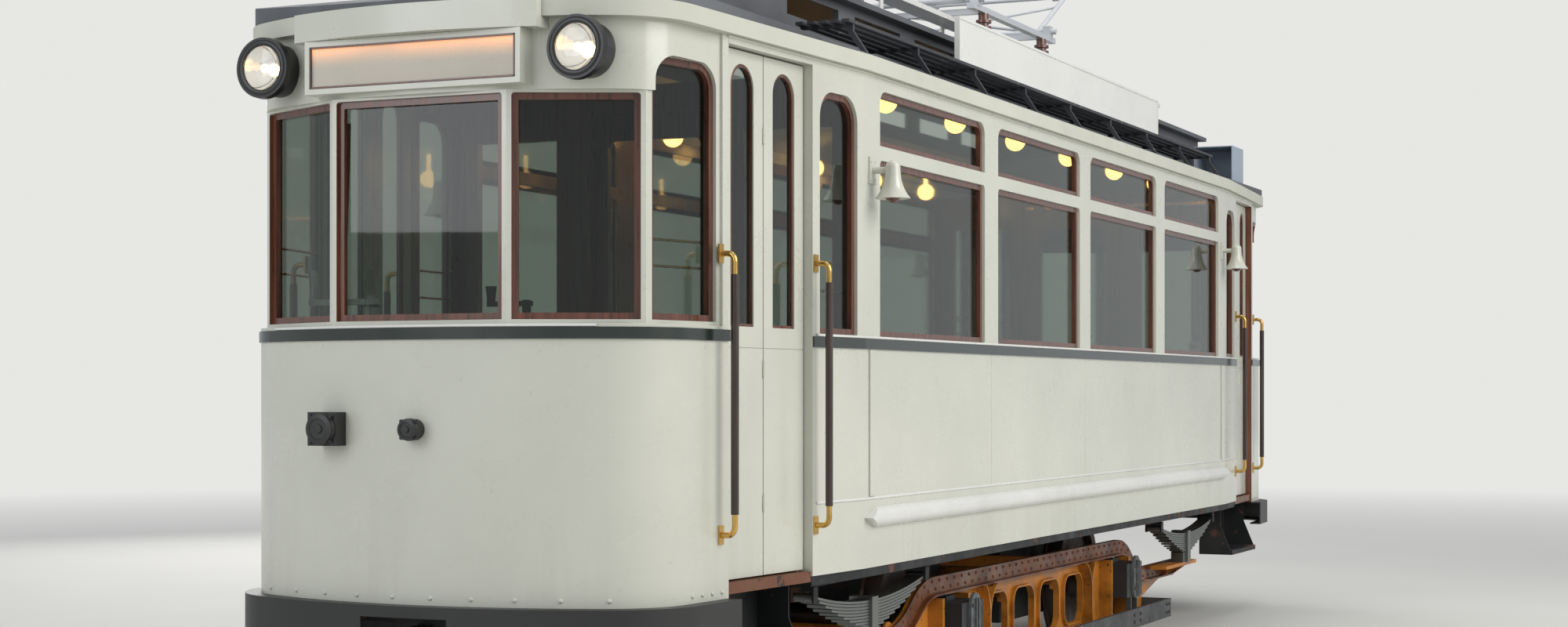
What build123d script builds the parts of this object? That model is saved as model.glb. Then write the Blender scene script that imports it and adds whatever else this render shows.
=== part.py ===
from build123d import *
from math import acos, asin, atan, cos, degrees, hypot, radians, sin, sqrt
import os

os.makedirs("parts", exist_ok=True)

# Two-axle electric tram. Millimetres, +Z up, rails along Y, front end towards -Y.
# The origin is midway along and across the car, level with the lowest point of the wheel flanges.

ends = (("front", -1), ("rear", 1))
sides = (("left", 1), ("right", -1))
corners = [(f"{end_name}_{side_name}", side, end) for side_name, side in sides for end_name, end in ends]

# Body plan
saloon_half_width = 1000
saloon_half_length = 3080
platform_taper = 0.0748
dash_front_y = 4900
dash_front_radius = 1750
dash_corner_radius = 300

# Body heights
dash_bottom = 744
side_bottom = 780
threshold = 800
belt_line = 1735
dash_top = 1745
front_header = 2560
wall_top = 2820
cornice_top = 2885

# Body walls
wall = 50
dash_wall = 40
saloon_floor = 900
floor_thickness = 50
platform_floor_thickness = 40
seat_gap = 0.3

# Saloon windows
bay_pitch = 1500
bay_count = 4
pane_width = 1310
pane_sill = belt_line
pane_head = 2470
vent_sill = 2530
vent_head = 2760
vent_corner = 60
pane_corner = 25
frame_face = 24
frame_depth = 20
glass = 6

# Narrow windows between the platform doors and the saloon
narrow_start = 3140
narrow_end = 3470
narrow_head = 2700
narrow_corner = 110

# Windscreen facets in plan, from the middle of the end outwards
screen_y = 4855
screen_half = 367
post_x, post_y = 812, 4645
jamb_x, jamb_y = 905, 4225
screen_wall = 50
header_inset = 20
header_wall = 40

# Platform doors
door_inner = 3530
door_outer = 4190
door_recess = 40
door_thickness = 35
door_gap = 6
door_free_gap = 9
door_head = 2790
heel = 12
pivot_radius = 8
pivot_depth = 16
pivot_play = 0.1
leaf_window_width = 176
leaf_window_sill = 1750
leaf_window_head = 2735
leaf_rail = 1670
seam_gap = 6
knuckle_radius = 7
knuckle_offset = 2
knuckle_height = 30
knuckle_play = 1
hinge_heights = (1050, 1560, 2450)
jamb_width = 45
jamb_depth = 84
jamb_lap = 5

# Bulkheads between saloon and platforms
bulkhead_y = 3050
bulkhead_thickness = 40
bulkhead_door_half = 280
bulkhead_door_head = 2700
bulkhead_window = (450, 850, 1750, 2600)

# Roof
roof_crown = 3100
roof_skin = 30
cornice_out = 30
roof_flat_y = 3400
clerestory_half_width = 575
clerestory_half_length = 4050
clerestory_eaves = 3240
clerestory_crown = 3370
clerestory_wall = 25
eaves_out = 60
eaves_thickness = 25

# Running gear
axle_y = 1400
wheel_radius = 390
flange_height = 20
axle_height = wheel_radius + flange_height
back_to_back_half = 430
flange_width = 24
wheel_width = 105
axle_radius = 58
journal_radius = 45
journal_play = 0.06
journal_end = 835
spring_x = 822
spring_y = 2650


def upright(x, y, heading):
    """Vertical plane through (x, y) whose normal points along the heading, in degrees from +X."""
    nx, ny = cos(radians(heading)), sin(radians(heading))
    return Plane(origin=(x, y, 0), x_dir=(-ny, nx, 0), z_dir=(nx, ny, 0))


def facet(start, end):
    """Vertical plane midway between two plan points, facing away from the middle of the car."""
    mid = ((start[0] + end[0]) / 2, (start[1] + end[1]) / 2)
    run = (end[0] - start[0], end[1] - start[1])
    length = hypot(*run)
    normal = (run[1] / length, -run[0] / length)
    if normal[0] * mid[0] + normal[1] * mid[1] < 0:
        normal = (-normal[0], -normal[1])
    return Plane(origin=(mid[0], mid[1], 0), x_dir=(-normal[1], normal[0], 0), z_dir=(normal[0], normal[1], 0))


def opening(plane, width, bottom, top, radius, along=0.0):
    """Outline of a window on an upright plane, with its two top corners rounded."""
    with BuildSketch(plane) as sketch:
        with Locations((along, (bottom + top) / 2)):
            Rectangle(width, top - bottom)
        fillet(sketch.vertices().group_by(Axis.Y)[-1], radius)
    return sketch.sketch


def side_width(y):
    """Half width of the body, outside, at a distance y along it."""
    return saloon_half_width - platform_taper * max(0.0, abs(y) - saloon_half_length)


def corner_point():
    """Plan point where the tapered platform side would meet the bowed dash front."""
    k = platform_taper
    m = saloon_half_length - (dash_front_y - dash_front_radius)
    a = k * k + 1
    b = 2 * (m - saloon_half_width * k)
    c = saloon_half_width**2 + m * m - dash_front_radius**2
    run = (-b + sqrt(b * b - 4 * a * c)) / (2 * a)
    return saloon_half_width - k * run, saloon_half_length + run


def body_plan(margin):
    """Plan of the whole car body, moved outwards by a margin."""
    cx, cy = corner_point()
    with BuildSketch() as plan:
        with BuildLine():
            Line((cx, -cy), (saloon_half_width, -saloon_half_length))
            Line((saloon_half_width, -saloon_half_length), (saloon_half_width, saloon_half_length))
            Line((saloon_half_width, saloon_half_length), (cx, cy))
            ThreePointArc((cx, cy), (0, dash_front_y), (-cx, cy))
            Line((-cx, cy), (-saloon_half_width, saloon_half_length))
            Line((-saloon_half_width, saloon_half_length), (-saloon_half_width, -saloon_half_length))
            Line((-saloon_half_width, -saloon_half_length), (-cx, -cy))
            ThreePointArc((-cx, -cy), (0, -dash_front_y), (cx, -cy))
        make_face()
        fillet([v for v in plan.vertices() if abs(v.Y) > cy - 1], dash_corner_radius)
        if margin:
            offset(amount=margin, kind=Kind.INTERSECTION)
    return plan.sketch


def plan_ring(outer, inner, near, far):
    """Ring between two body plans, kept where near < |y| < far."""
    with BuildSketch() as ring:
        add(outer)
        add(inner, mode=Mode.SUBTRACT)
        for _, end in ends:
            with Locations((0, end * (far + 3000))):
                Rectangle(4000, 6000, mode=Mode.SUBTRACT)
        if near:
            Rectangle(4000, 2 * near, mode=Mode.SUBTRACT)
    return ring.sketch


outer_plan = body_plan(0)
wall_plan = body_plan(-wall)
dash_plan = body_plan(-dash_wall)
header_plan = body_plan(-header_inset)
header_inner_plan = body_plan(-header_inset - header_wall)
cornice_plan = body_plan(cornice_out)
roof_plan = body_plan(cornice_out - 8)
roof_inner_plan = body_plan(cornice_out - 8 - roof_skin - wall)
floor_plan = body_plan(-wall - 3)
bumper_outer_plan = body_plan(60)
bumper_inner_plan = body_plan(-12)

bay_places = [bay_pitch * (i - (bay_count - 1) / 2) for i in range(bay_count)]
taper_angle = degrees(atan(platform_taper))
narrow_width = narrow_end - narrow_start
narrow_y = (narrow_start + narrow_end) / 2
door_middle = (door_inner + door_outer) / 2
leaf_width = (door_outer - door_inner - door_gap - door_free_gap - seam_gap) / 2


def side_plane(side, y, inset=0.0):
    """Vertical plane on the body side at y, facing outwards, moved in by an inset."""
    heading = 0.0
    if abs(y) > saloon_half_length:
        heading = taper_angle if y > 0 else -taper_angle
    if side < 0:
        heading = 180 - heading
    nx, ny = cos(radians(heading)), sin(radians(heading))
    return upright(side * side_width(y) - nx * inset, y - ny * inset, heading)


def door_frame(side, end):
    """Doorway directions: the inner hinge pin, the way out of the car and the way along to the free edge."""
    heading = end * taper_angle if side > 0 else 180 - end * taper_angle
    nx, ny = cos(radians(heading)), sin(radians(heading))
    out = Vector(nx, ny, 0)
    run = Vector(-ny, nx, 0) * (side * end)
    face = Vector(side * side_width(door_inner), end * door_inner, 0)
    return face - out * (door_recess + door_thickness - heel) + run * (door_gap + heel), out, run


def door_plane(side, end, out, along, z):
    """Level plane at a point of a doorway, with its X axis out of the car."""
    pin, normal, run = door_frame(side, end)
    return Plane(origin=pin + normal * out + run * along + Vector(0, 0, z), x_dir=normal, z_dir=(0, 0, 1))


# Each window: plane, width, sill, head, radius of the top corners
saloon_windows = []
for _, side in sides:
    for y in bay_places:
        saloon_windows.append((side_plane(side, y), pane_width, pane_sill, pane_head, pane_corner))
        saloon_windows.append((side_plane(side, y), pane_width, vent_sill, vent_head, vent_corner))
    for _, end in ends:
        place = side_plane(side, end * narrow_y)
        saloon_windows.append((place, narrow_width, pane_sill, narrow_head, narrow_corner))

screen_sill = dash_top + 15
screen_post = 18
screen_windows = []
for _, end in ends:
    middle = facet((-screen_half, end * screen_y), (screen_half, end * screen_y))
    screen_windows.append((middle, 2 * screen_half - 2 * screen_post, screen_sill, front_header, 12))
    for _, side in sides:
        post = (side * post_x, end * post_y)
        quarter = facet((side * screen_half, end * screen_y), post)
        quarter_width = hypot(post_x - screen_half, screen_y - post_y) - 2 * screen_post
        screen_windows.append((quarter, quarter_width, screen_sill, front_header, 12))
        flank = facet(post, (side * jamb_x, end * jamb_y))
        flank_width = hypot(jamb_x - post_x, jamb_y - post_y) - 2 * screen_post - 30
        screen_windows.append((flank, flank_width, screen_sill, 2700, 90))

windows = saloon_windows + screen_windows
window_cuts = [opening(*window) for window in windows]
frame_outlines = [
    opening(plane.offset(-15), width - 1, bottom + 0.5, top - 0.5, radius - 0.5)
    for plane, width, bottom, top, radius in windows
]
frame_holes = [
    opening(plane.offset(-15), width - 2 * frame_face, bottom + frame_face, top - frame_face,
            max(radius - frame_face, 4))
    for plane, width, bottom, top, radius in windows
]
glass_outlines = [
    opening(plane.offset(-15 - frame_depth), width - 2, bottom + 1, top - 1, radius - 1)
    for plane, width, bottom, top, radius in windows
]

# Saloon side walls, from door jamb to door jamb
side_ring = plan_ring(outer_plan, wall_plan, 0, door_inner - jamb_lap)
for side_name, side in sides:
    with BuildPart() as side_wall:
        with BuildSketch(Plane.XY.offset(side_bottom)):
            add(side_ring)
            with Locations((-side * 2000, 0)):
                Rectangle(4000, 12000, mode=Mode.SUBTRACT)
        extrude(amount=wall_top - side_bottom)
        for _, end in ends:
            place = side_plane(side, end * (door_inner - jamb_width / 2), jamb_depth / 2)
            with Locations(Location(place) * Location((0, (side_bottom + wall_top) / 2, 0))):
                Box(jamb_width, wall_top - side_bottom, jamb_depth)
        for window, cut in zip(saloon_windows, window_cuts):
            if window[0].origin.X * side > 0:
                extrude(cut, amount=wall + 5, both=True, mode=Mode.SUBTRACT)
    side_wall.part.label = f"side_wall_{side_name}"
    export_step(side_wall.part, f"parts/side_wall_{side_name}.step")

# Dash panels, from the door's outer jamb round the end of the car
dash_ring = plan_ring(outer_plan, dash_plan, door_outer + jamb_lap, 9000)
for end_name, end in ends:
    with BuildPart() as dash:
        with BuildSketch(Plane.XY.offset(dash_bottom)):
            add(dash_ring)
            with Locations((0, -end * 3000)):
                Rectangle(4000, 6000, mode=Mode.SUBTRACT)
        extrude(amount=dash_top - dash_bottom)
        for _, side in sides:
            place = side_plane(side, end * (door_outer + jamb_width / 2), jamb_depth / 2)
            with Locations(Location(place) * Location((0, (dash_bottom + dash_top) / 2, 0))):
                Box(jamb_width, dash_top - dash_bottom, jamb_depth)
    dash.part.label = f"{end_name}_dash"
    export_step(dash.part, f"parts/{end_name}_dash.step")

# Upper end of each platform: window posts, curved header and the beams over the doors
header_ring = plan_ring(header_plan, header_inner_plan, jamb_y, 9000)
sill_out = door_recess + door_thickness - heel
sill_middle = (door_outer - door_inner) / 2 - door_gap - heel
for end_name, end in ends:
    with BuildPart() as vestibule:
        with BuildSketch(Plane.XY.offset(dash_top)):
            with BuildLine():
                points = [(jamb_x, jamb_y), (post_x, post_y), (screen_half, screen_y)]
                outline = [(x, end * y) for x, y in points] + [(-x, end * y) for x, y in reversed(points)]
                Polyline(*outline, close=True)
            make_face()
            offset(amount=-screen_wall, kind=Kind.INTERSECTION, mode=Mode.SUBTRACT)
            with Locations((0, end * jamb_y)):
                Rectangle(2 * (jamb_x - screen_wall) - 10, 2 * screen_wall + 10, mode=Mode.SUBTRACT)
        extrude(amount=wall_top - dash_top)
        with Locations((0, end * (post_y + 500), (front_header + 10 + wall_top + 10) / 2)):
            Box(4000, 1000, wall_top - front_header, mode=Mode.SUBTRACT)
        with BuildSketch(Plane.XY.offset(front_header + 10)):
            add(header_ring)
            with Locations((0, -end * 3000)):
                Rectangle(4000, 6000, mode=Mode.SUBTRACT)
        extrude(amount=wall_top - front_header - 10)
        for _, side in sides:
            beam_middle = (door_head + wall_top) / 2
            with Locations(Location(door_plane(side, end, sill_out - jamb_depth / 2, sill_middle, beam_middle))):
                Box(jamb_depth, door_outer - door_inner - 2 * seat_gap, wall_top - door_head)
            place = side_plane(side, end * (door_outer + jamb_width / 2), jamb_depth / 2)
            with Locations(Location(place) * Location((0, (dash_top + wall_top) / 2, 0))):
                Box(jamb_width, wall_top - dash_top, jamb_depth)
            with Locations(Location(door_plane(side, end, 0, 0, door_head + pivot_depth / 2))):
                Cylinder(pivot_radius + pivot_play, pivot_depth + 2, mode=Mode.SUBTRACT)
        for window, cut in zip(screen_windows, window_cuts[len(saloon_windows):]):
            if window[0].origin.Y * end > 0:
                extrude(cut, amount=screen_wall + 5, both=True, mode=Mode.SUBTRACT)
    vestibule.part.label = f"{end_name}_vestibule"
    export_step(vestibule.part, f"parts/{end_name}_vestibule.step")

# Threshold strips under the doors, with the lower pivot holes
with BuildPart() as door_sills:
    for _, side, end in corners:
        with Locations(Location(door_plane(side, end, sill_out - jamb_depth / 2 - 4, sill_middle, threshold - 22))):
            Box(jamb_depth - 8, door_outer - door_inner - 2 * seat_gap, 42)
        with Locations(Location(door_plane(side, end, 0, 0, threshold - 1 - pivot_depth / 2))):
            Cylinder(pivot_radius + pivot_play, pivot_depth + 2, mode=Mode.SUBTRACT)
door_sills.part.label = "door_sills"
export_step(door_sills.part, "parts/door_sills.step")

# Folding doors: a hinge leaf on the pivots and a fold leaf on the hinge leaf's knuckles
leaf_bottom = threshold + door_gap
leaf_top = door_head - door_gap
seam_pin = leaf_width - heel + seam_gap / 2
seam_out = door_thickness - heel + knuckle_offset
knuckle_clear = knuckle_radius + knuckle_play
for place_name, side, end in corners:
    turn = side * end
    with BuildPart() as hinge_leaf:
        with BuildSketch(door_plane(side, end, 0, 0, leaf_bottom)) as outline:
            with Locations((door_thickness / 2 - heel, turn * (leaf_width / 2 - heel))):
                Rectangle(door_thickness, leaf_width)
            heel_corner = outline.vertices().sort_by_distance((-heel, -turn * heel))[0]
            fillet(heel_corner, heel - 0.5)
        extrude(amount=leaf_top - leaf_bottom)
        for z, reach in ((leaf_bottom, -1), (leaf_top, 1)):
            with Locations(Location(door_plane(side, end, 0, 0, z + reach * (pivot_depth + door_gap) / 2 - reach * 2))):
                Cylinder(pivot_radius, pivot_depth + door_gap)
        for z in hinge_heights:
            with Locations(Location(door_plane(side, end, seam_out, seam_pin, z + 1.5 * knuckle_height + 1))):
                Cylinder(knuckle_clear, knuckle_height + 2, mode=Mode.SUBTRACT)
            with Locations(Location(door_plane(side, end, seam_out, seam_pin, z + knuckle_height / 2))):
                Cylinder(knuckle_radius, knuckle_height)
            with Locations(Location(door_plane(side, end, seam_out, seam_pin, z + knuckle_height))):
                Cylinder(knuckle_radius / 2, 2 * knuckle_height - 4)
        pane_plane = door_plane(side, end, door_thickness - heel, leaf_width / 2 - heel, 0)
        pane = Plane(origin=pane_plane.origin, x_dir=pane_plane.y_dir, z_dir=pane_plane.x_dir)
        with BuildSketch(pane):
            with Locations((0, (leaf_window_sill + leaf_window_head) / 2)):
                SlotOverall(leaf_window_head - leaf_window_sill, leaf_window_width, rotation=90)
            with Locations((0, leaf_window_sill + leaf_window_width / 2)):
                Rectangle(leaf_window_width, leaf_window_width)
        extrude(amount=door_thickness + 5, both=True, mode=Mode.SUBTRACT)
        with BuildSketch(pane):
            with Locations((0, leaf_rail)):
                Rectangle(leaf_width + 2, 4)
        extrude(amount=-3, mode=Mode.SUBTRACT)
    hinge_leaf.part.label = f"door_{place_name}_hinge_leaf"
    export_step(hinge_leaf.part, f"parts/door_{place_name}_hinge_leaf.step")

    with BuildPart() as fold_leaf:
        fold_middle = 1.5 * leaf_width - heel + seam_gap
        with BuildSketch(door_plane(side, end, 0, 0, leaf_bottom)):
            with Locations((door_thickness / 2 - heel, turn * fold_middle)):
                Rectangle(door_thickness, leaf_width)
        extrude(amount=leaf_top - leaf_bottom)
        for z in hinge_heights:
            with Locations(Location(door_plane(side, end, seam_out, seam_pin, z + knuckle_height / 2 - 1))):
                Cylinder(knuckle_clear, knuckle_height + 3, mode=Mode.SUBTRACT)
            with Locations(Location(door_plane(side, end, seam_out, seam_pin, z + 1.5 * knuckle_height + 1))):
                Cylinder(knuckle_radius, knuckle_height)
                Cylinder(knuckle_radius / 2 + 0.05, knuckle_height + 2, mode=Mode.SUBTRACT)
        pane_plane = door_plane(side, end, door_thickness - heel, fold_middle, 0)
        pane = Plane(origin=pane_plane.origin, x_dir=pane_plane.y_dir, z_dir=pane_plane.x_dir)
        with BuildSketch(pane):
            with Locations((0, (leaf_window_sill + leaf_window_head) / 2)):
                SlotOverall(leaf_window_head - leaf_window_sill, leaf_window_width, rotation=90)
            with Locations((0, leaf_window_sill + leaf_window_width / 2)):
                Rectangle(leaf_window_width, leaf_window_width)
        extrude(amount=door_thickness + 5, both=True, mode=Mode.SUBTRACT)
        with BuildSketch(pane):
            with Locations((0, leaf_rail)):
                Rectangle(leaf_width + 2, 4)
        extrude(amount=-3, mode=Mode.SUBTRACT)
    fold_leaf.part.label = f"door_{place_name}_fold_leaf"
    export_step(fold_leaf.part, f"parts/door_{place_name}_fold_leaf.step")

# Floors: the saloon floor, the two lower platform floors and the riser boards between them
step_inner_x = 718
floor_clear = 1
riser_thickness = 25
step_notch_room = 13
platform_floor_top = threshold
dash_floor_plan = body_plan(-dash_wall - seat_gap)
with BuildPart() as floor:
    with BuildSketch(Plane.XY.offset(saloon_floor - floor_thickness)):
        Rectangle(2 * (saloon_half_width - wall - floor_clear), 2 * (bulkhead_y + riser_thickness))
    extrude(amount=floor_thickness)
    for _, end in ends:
        with BuildSketch(Plane.XY.offset(platform_floor_top - platform_floor_thickness)):
            add(dash_floor_plan)
            add(plan_ring(dash_floor_plan, floor_plan, 0, door_middle), mode=Mode.SUBTRACT)
            with Locations((0, -end * (6000 - bulkhead_y))):
                Rectangle(4000, 12000, mode=Mode.SUBTRACT)
            for _, side in sides:
                with Locations((side * (step_inner_x + 500), end * door_middle)):
                    Rectangle(1000, door_outer - door_inner + 2 * (jamb_width + step_notch_room), mode=Mode.SUBTRACT)
        extrude(amount=platform_floor_thickness)
        riser_low = platform_floor_top + seat_gap
        riser_high = saloon_floor - floor_thickness - seat_gap
        with Locations((0, end * (bulkhead_y + riser_thickness / 2), (riser_low + riser_high) / 2)):
            Box(2 * (saloon_half_width - wall - 12), riser_thickness, riser_high - riser_low)
floor.part.label = "floor"
export_step(floor.part, "parts/floor.step")

# Underframe: separate beams that meet within a seat's gap, as riveted ones do
sill_x = 820
sill_width = 80
sill_web = 32
sill_flange = 12
sill_half_length = 3030
sill_end_y = 3310
beam_width = 60
underframe_top = saloon_floor - floor_thickness
underframe_bottom = 742
main_sill_bottom = 715
platform_sill_x = 360
platform_sill_start = 2000
platform_sill_bottom = 660
platform_sill_top = platform_floor_top - platform_floor_thickness
headstock_y = 4690
headstock_half = 650
cross_places = (-3010, -2250, -700, 0, 700, 2250, 3010)
platform_beam_width = 50
platform_beam_inset = 40
spring_leaf = 13
spring_leaf_count = 9
spring_pack_bottom = 500
spring_pack_top = spring_pack_bottom + spring_leaf_count * spring_leaf
spring_rise = 66
hanger_reach = 634
hanger_eye_z = spring_pack_top + spring_rise - 10
hanger_eye_radius = 19
hanger_width = 102
hanger_length = 46
hanger_cheek = 8
cross_middle = (underframe_bottom + underframe_top) / 2
cross_height = underframe_top - underframe_bottom
cross_half = sill_x - sill_width / 2 - seat_gap
outrigger_in = sill_x + sill_width / 2 + seat_gap
outrigger_out = saloon_half_width - wall - floor_clear
platform_beam_places = (door_inner + platform_beam_inset, door_outer - platform_beam_inset)
platform_beam_middle = (platform_sill_bottom + platform_sill_top) / 2
platform_beam_height = platform_sill_top - platform_sill_bottom
hanger_bottom = hanger_eye_z + hanger_eye_radius + seat_gap
hanger_cheek_bottom = hanger_eye_z - hanger_eye_radius - 3
platform_sill_end = headstock_y - beam_width / 2 - seat_gap
wing_in = platform_sill_x + beam_width / 2 + seat_gap
with BuildPart() as underframe:
    with Locations((sill_x, 0, (main_sill_bottom + underframe_top) / 2)):
        Box(sill_width, 2 * sill_half_length, underframe_top - main_sill_bottom)
    with Locations((sill_x - sill_web / 2 - 4, 0, (main_sill_bottom + underframe_top) / 2)):
        Box(sill_width - sill_web + 8, 2 * sill_half_length + 2, underframe_top - main_sill_bottom - 2 * sill_flange,
            mode=Mode.SUBTRACT)
    for _, end in ends:
        outer_length = sill_end_y - sill_half_length + 40
        with Locations((sill_x, end * (sill_end_y - outer_length / 2), (main_sill_bottom + platform_sill_top) / 2)):
            Box(sill_width, outer_length, platform_sill_top - main_sill_bottom)
        hanger_places = [end * spring_y - hanger_reach, end * spring_y + hanger_reach]
        with Locations([(spring_x, y, (hanger_bottom + main_sill_bottom) / 2) for y in hanger_places]):
            Box(hanger_width, hanger_length, main_sill_bottom - hanger_bottom)
        with Locations([(spring_x, y, (hanger_cheek_bottom + main_sill_bottom) / 2) for y in hanger_places]):
            with Locations((-(hanger_width - hanger_cheek) / 2, 0), ((hanger_width - hanger_cheek) / 2, 0)):
                Box(hanger_cheek, hanger_length, main_sill_bottom - hanger_cheek_bottom)
        low_middle = (platform_sill_bottom + underframe_bottom - seat_gap) / 2
        with Locations((platform_sill_x, end * (platform_sill_start + platform_sill_end) / 2, low_middle)):
            Box(beam_width, platform_sill_end - platform_sill_start, 2 * (low_middle - platform_sill_bottom))
        with Locations((platform_sill_x, end * (bulkhead_y + platform_sill_end) / 2, platform_beam_middle)):
            Box(beam_width, platform_sill_end - bulkhead_y, platform_beam_height)
        with Locations([((wing_in + step_inner_x) / 2, end * y, platform_beam_middle) for y in platform_beam_places]):
            Box(step_inner_x - wing_in, platform_beam_width, platform_beam_height)
    with Locations([((outrigger_in + outrigger_out) / 2, y, cross_middle) for y in cross_places]):
        Box(outrigger_out - outrigger_in, beam_width, cross_height)
    mirror(about=Plane.YZ)
    with Locations([(0, y, cross_middle) for y in cross_places]):
        Box(2 * cross_half, beam_width, cross_height)
    with BuildSketch(Plane.XY.offset(underframe_bottom)):
        add(plan_ring(body_plan(-10), body_plan(-46), 0, door_inner - 10))
    extrude(amount=side_bottom - underframe_bottom)
    with Locations([(0, end * headstock_y, platform_beam_middle) for _, end in ends]):
        Box(2 * headstock_half, beam_width, platform_beam_height)
    platform_middle = platform_sill_x - beam_width / 2 - seat_gap
    with Locations([(0, end * y, platform_beam_middle) for _, end in ends for y in platform_beam_places]):
        Box(2 * platform_middle, platform_beam_width, platform_beam_height)
underframe.part.label = "underframe"
export_step(underframe.part, "parts/underframe.step")

# Step wells under the doors: flared cheeks, a back sheet and a tread
step_bottom = 420
step_sheet = 8
cheek_top_x = 862
cheek_bottom_x = 942
step_top = 743
with BuildPart() as step_wells:
    for _, side, end in corners:
        for y in (door_inner - step_sheet, door_outer):
            with BuildSketch(Plane.XZ.offset(-end * (y + step_sheet / 2))):
                with BuildLine():
                    top = (side * cheek_top_x, step_top)
                    waist = (side * cheek_top_x, step_top - 130)
                    foot = (side * cheek_bottom_x, step_bottom)
                    Line((side * step_inner_x, step_bottom), (side * step_inner_x, step_top))
                    Line((side * step_inner_x, step_top), top)
                    Line(top, waist)
                    Line(waist, foot)
                    Line(foot, (side * step_inner_x, step_bottom))
                make_face()
            extrude(amount=step_sheet / 2, both=True)
        with Locations((side * (step_inner_x + step_sheet / 2), end * door_middle, (step_bottom + step_top) / 2)):
            Box(step_sheet, door_outer - door_inner + 2 * step_sheet, step_top - step_bottom)
        with Locations((side * (step_inner_x + cheek_bottom_x) / 2, end * door_middle, step_bottom + 15)):
            Box(cheek_bottom_x - step_inner_x, door_outer - door_inner + 2 * step_sheet, 30)
step_wells.part.label = "step_wells"
export_step(step_wells.part, "parts/step_wells.step")

# Bulkheads of the saloon with a doorway and two windows each
win_in, win_out, win_low, win_high = bulkhead_window
with BuildPart() as bulkheads:
    for _, end in ends:
        face = Plane.XZ.offset(-end * bulkhead_y)
        with BuildSketch(face):
            with Locations((0, (saloon_floor + wall_top) / 2)):
                Rectangle(2 * (saloon_half_width - wall - floor_clear), wall_top - saloon_floor - 1)
            with Locations((0, (saloon_floor + bulkhead_door_head) / 2)):
                Rectangle(2 * bulkhead_door_half, bulkhead_door_head - saloon_floor + 2, mode=Mode.SUBTRACT)
            for _, side in sides:
                with Locations((side * (win_in + win_out) / 2, (win_low + win_high) / 2)):
                    Rectangle(win_out - win_in, win_high - win_low, mode=Mode.SUBTRACT)
        extrude(amount=bulkhead_thickness / 2, both=True)
bulkheads.part.label = "bulkheads"
export_step(bulkheads.part, "parts/bulkheads.step")


def arch_face(half_width, edge_z, crown_z, base_z):
    """Outline under an arch that springs from edge_z at each side and rises to crown_z."""
    with BuildSketch() as outline:
        with BuildLine():
            ThreePointArc((-half_width, edge_z), (0, crown_z), (half_width, edge_z))
            Line((half_width, edge_z), (half_width, base_z))
            Line((half_width, base_z), (-half_width, base_z))
            Line((-half_width, base_z), (-half_width, edge_z))
        make_face()
    return outline.sketch


def dome_face(flat_half, end_half, crown_z, end_z, base_z):
    """Side outline of a roof: level in the middle and curved down at both ends."""
    drop, run = crown_z - end_z, end_half - flat_half
    radius = (run * run + drop * drop) / (2 * drop)
    half = asin(run / radius) / 2
    bend = (flat_half + radius * sin(half), crown_z - radius * (1 - cos(half)))
    with BuildSketch() as outline:
        with BuildLine():
            Line((-flat_half, crown_z), (flat_half, crown_z))
            ThreePointArc((flat_half, crown_z), bend, (end_half, end_z))
            Line((end_half, end_z), (end_half, base_z))
            Line((end_half, base_z), (-end_half, base_z))
            Line((-end_half, base_z), (-end_half, end_z))
            ThreePointArc((-end_half, end_z), (-bend[0], bend[1]), (-flat_half, crown_z))
        make_face()
    return outline.sketch


# Roof deck: cornice, curved skin with down-curved ends, open in the middle under the clerestory
roof_edge_x = saloon_half_width + cornice_out
roof_end_y = dash_front_y + cornice_out
roof_end_z = cornice_top + 15


def roof_body(drop, bottom, plan):
    """Solid under the roof skin, lowered by a drop, down to a bottom height."""
    with BuildPart() as body:
        with BuildSketch(Plane.XY.offset(bottom)):
            add(plan)
        extrude(amount=600)
        with BuildSketch(Plane.XZ):
            add(arch_face(roof_edge_x, cornice_top - drop, roof_crown - drop, bottom - 10))
        extrude(amount=6000, both=True, mode=Mode.INTERSECT)
        with BuildSketch(Plane.YZ):
            add(dome_face(roof_flat_y, roof_end_y, roof_crown - drop, roof_end_z - drop, bottom - 10))
        extrude(amount=2000, both=True, mode=Mode.INTERSECT)
    return body.part


roof_outside = roof_body(0, cornice_top - 5, roof_plan)
roof_inside = roof_body(roof_skin, wall_top - 5, roof_inner_plan)
clerestory_opening = (2 * (clerestory_half_width - 60), 2 * (bulkhead_y - 120))
with BuildPart() as roof_deck:
    with BuildSketch(Plane.XY.offset(wall_top)):
        add(cornice_plan)
    extrude(amount=cornice_top - wall_top)
    add(roof_outside)
    add(roof_inside, mode=Mode.SUBTRACT)
    with Locations((0, 0, roof_crown)):
        Box(clerestory_opening[0], clerestory_opening[1], 600, mode=Mode.SUBTRACT)
roof_deck.part.label = "roof_deck"
export_step(roof_deck.part, "parts/roof_deck.step")

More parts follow.
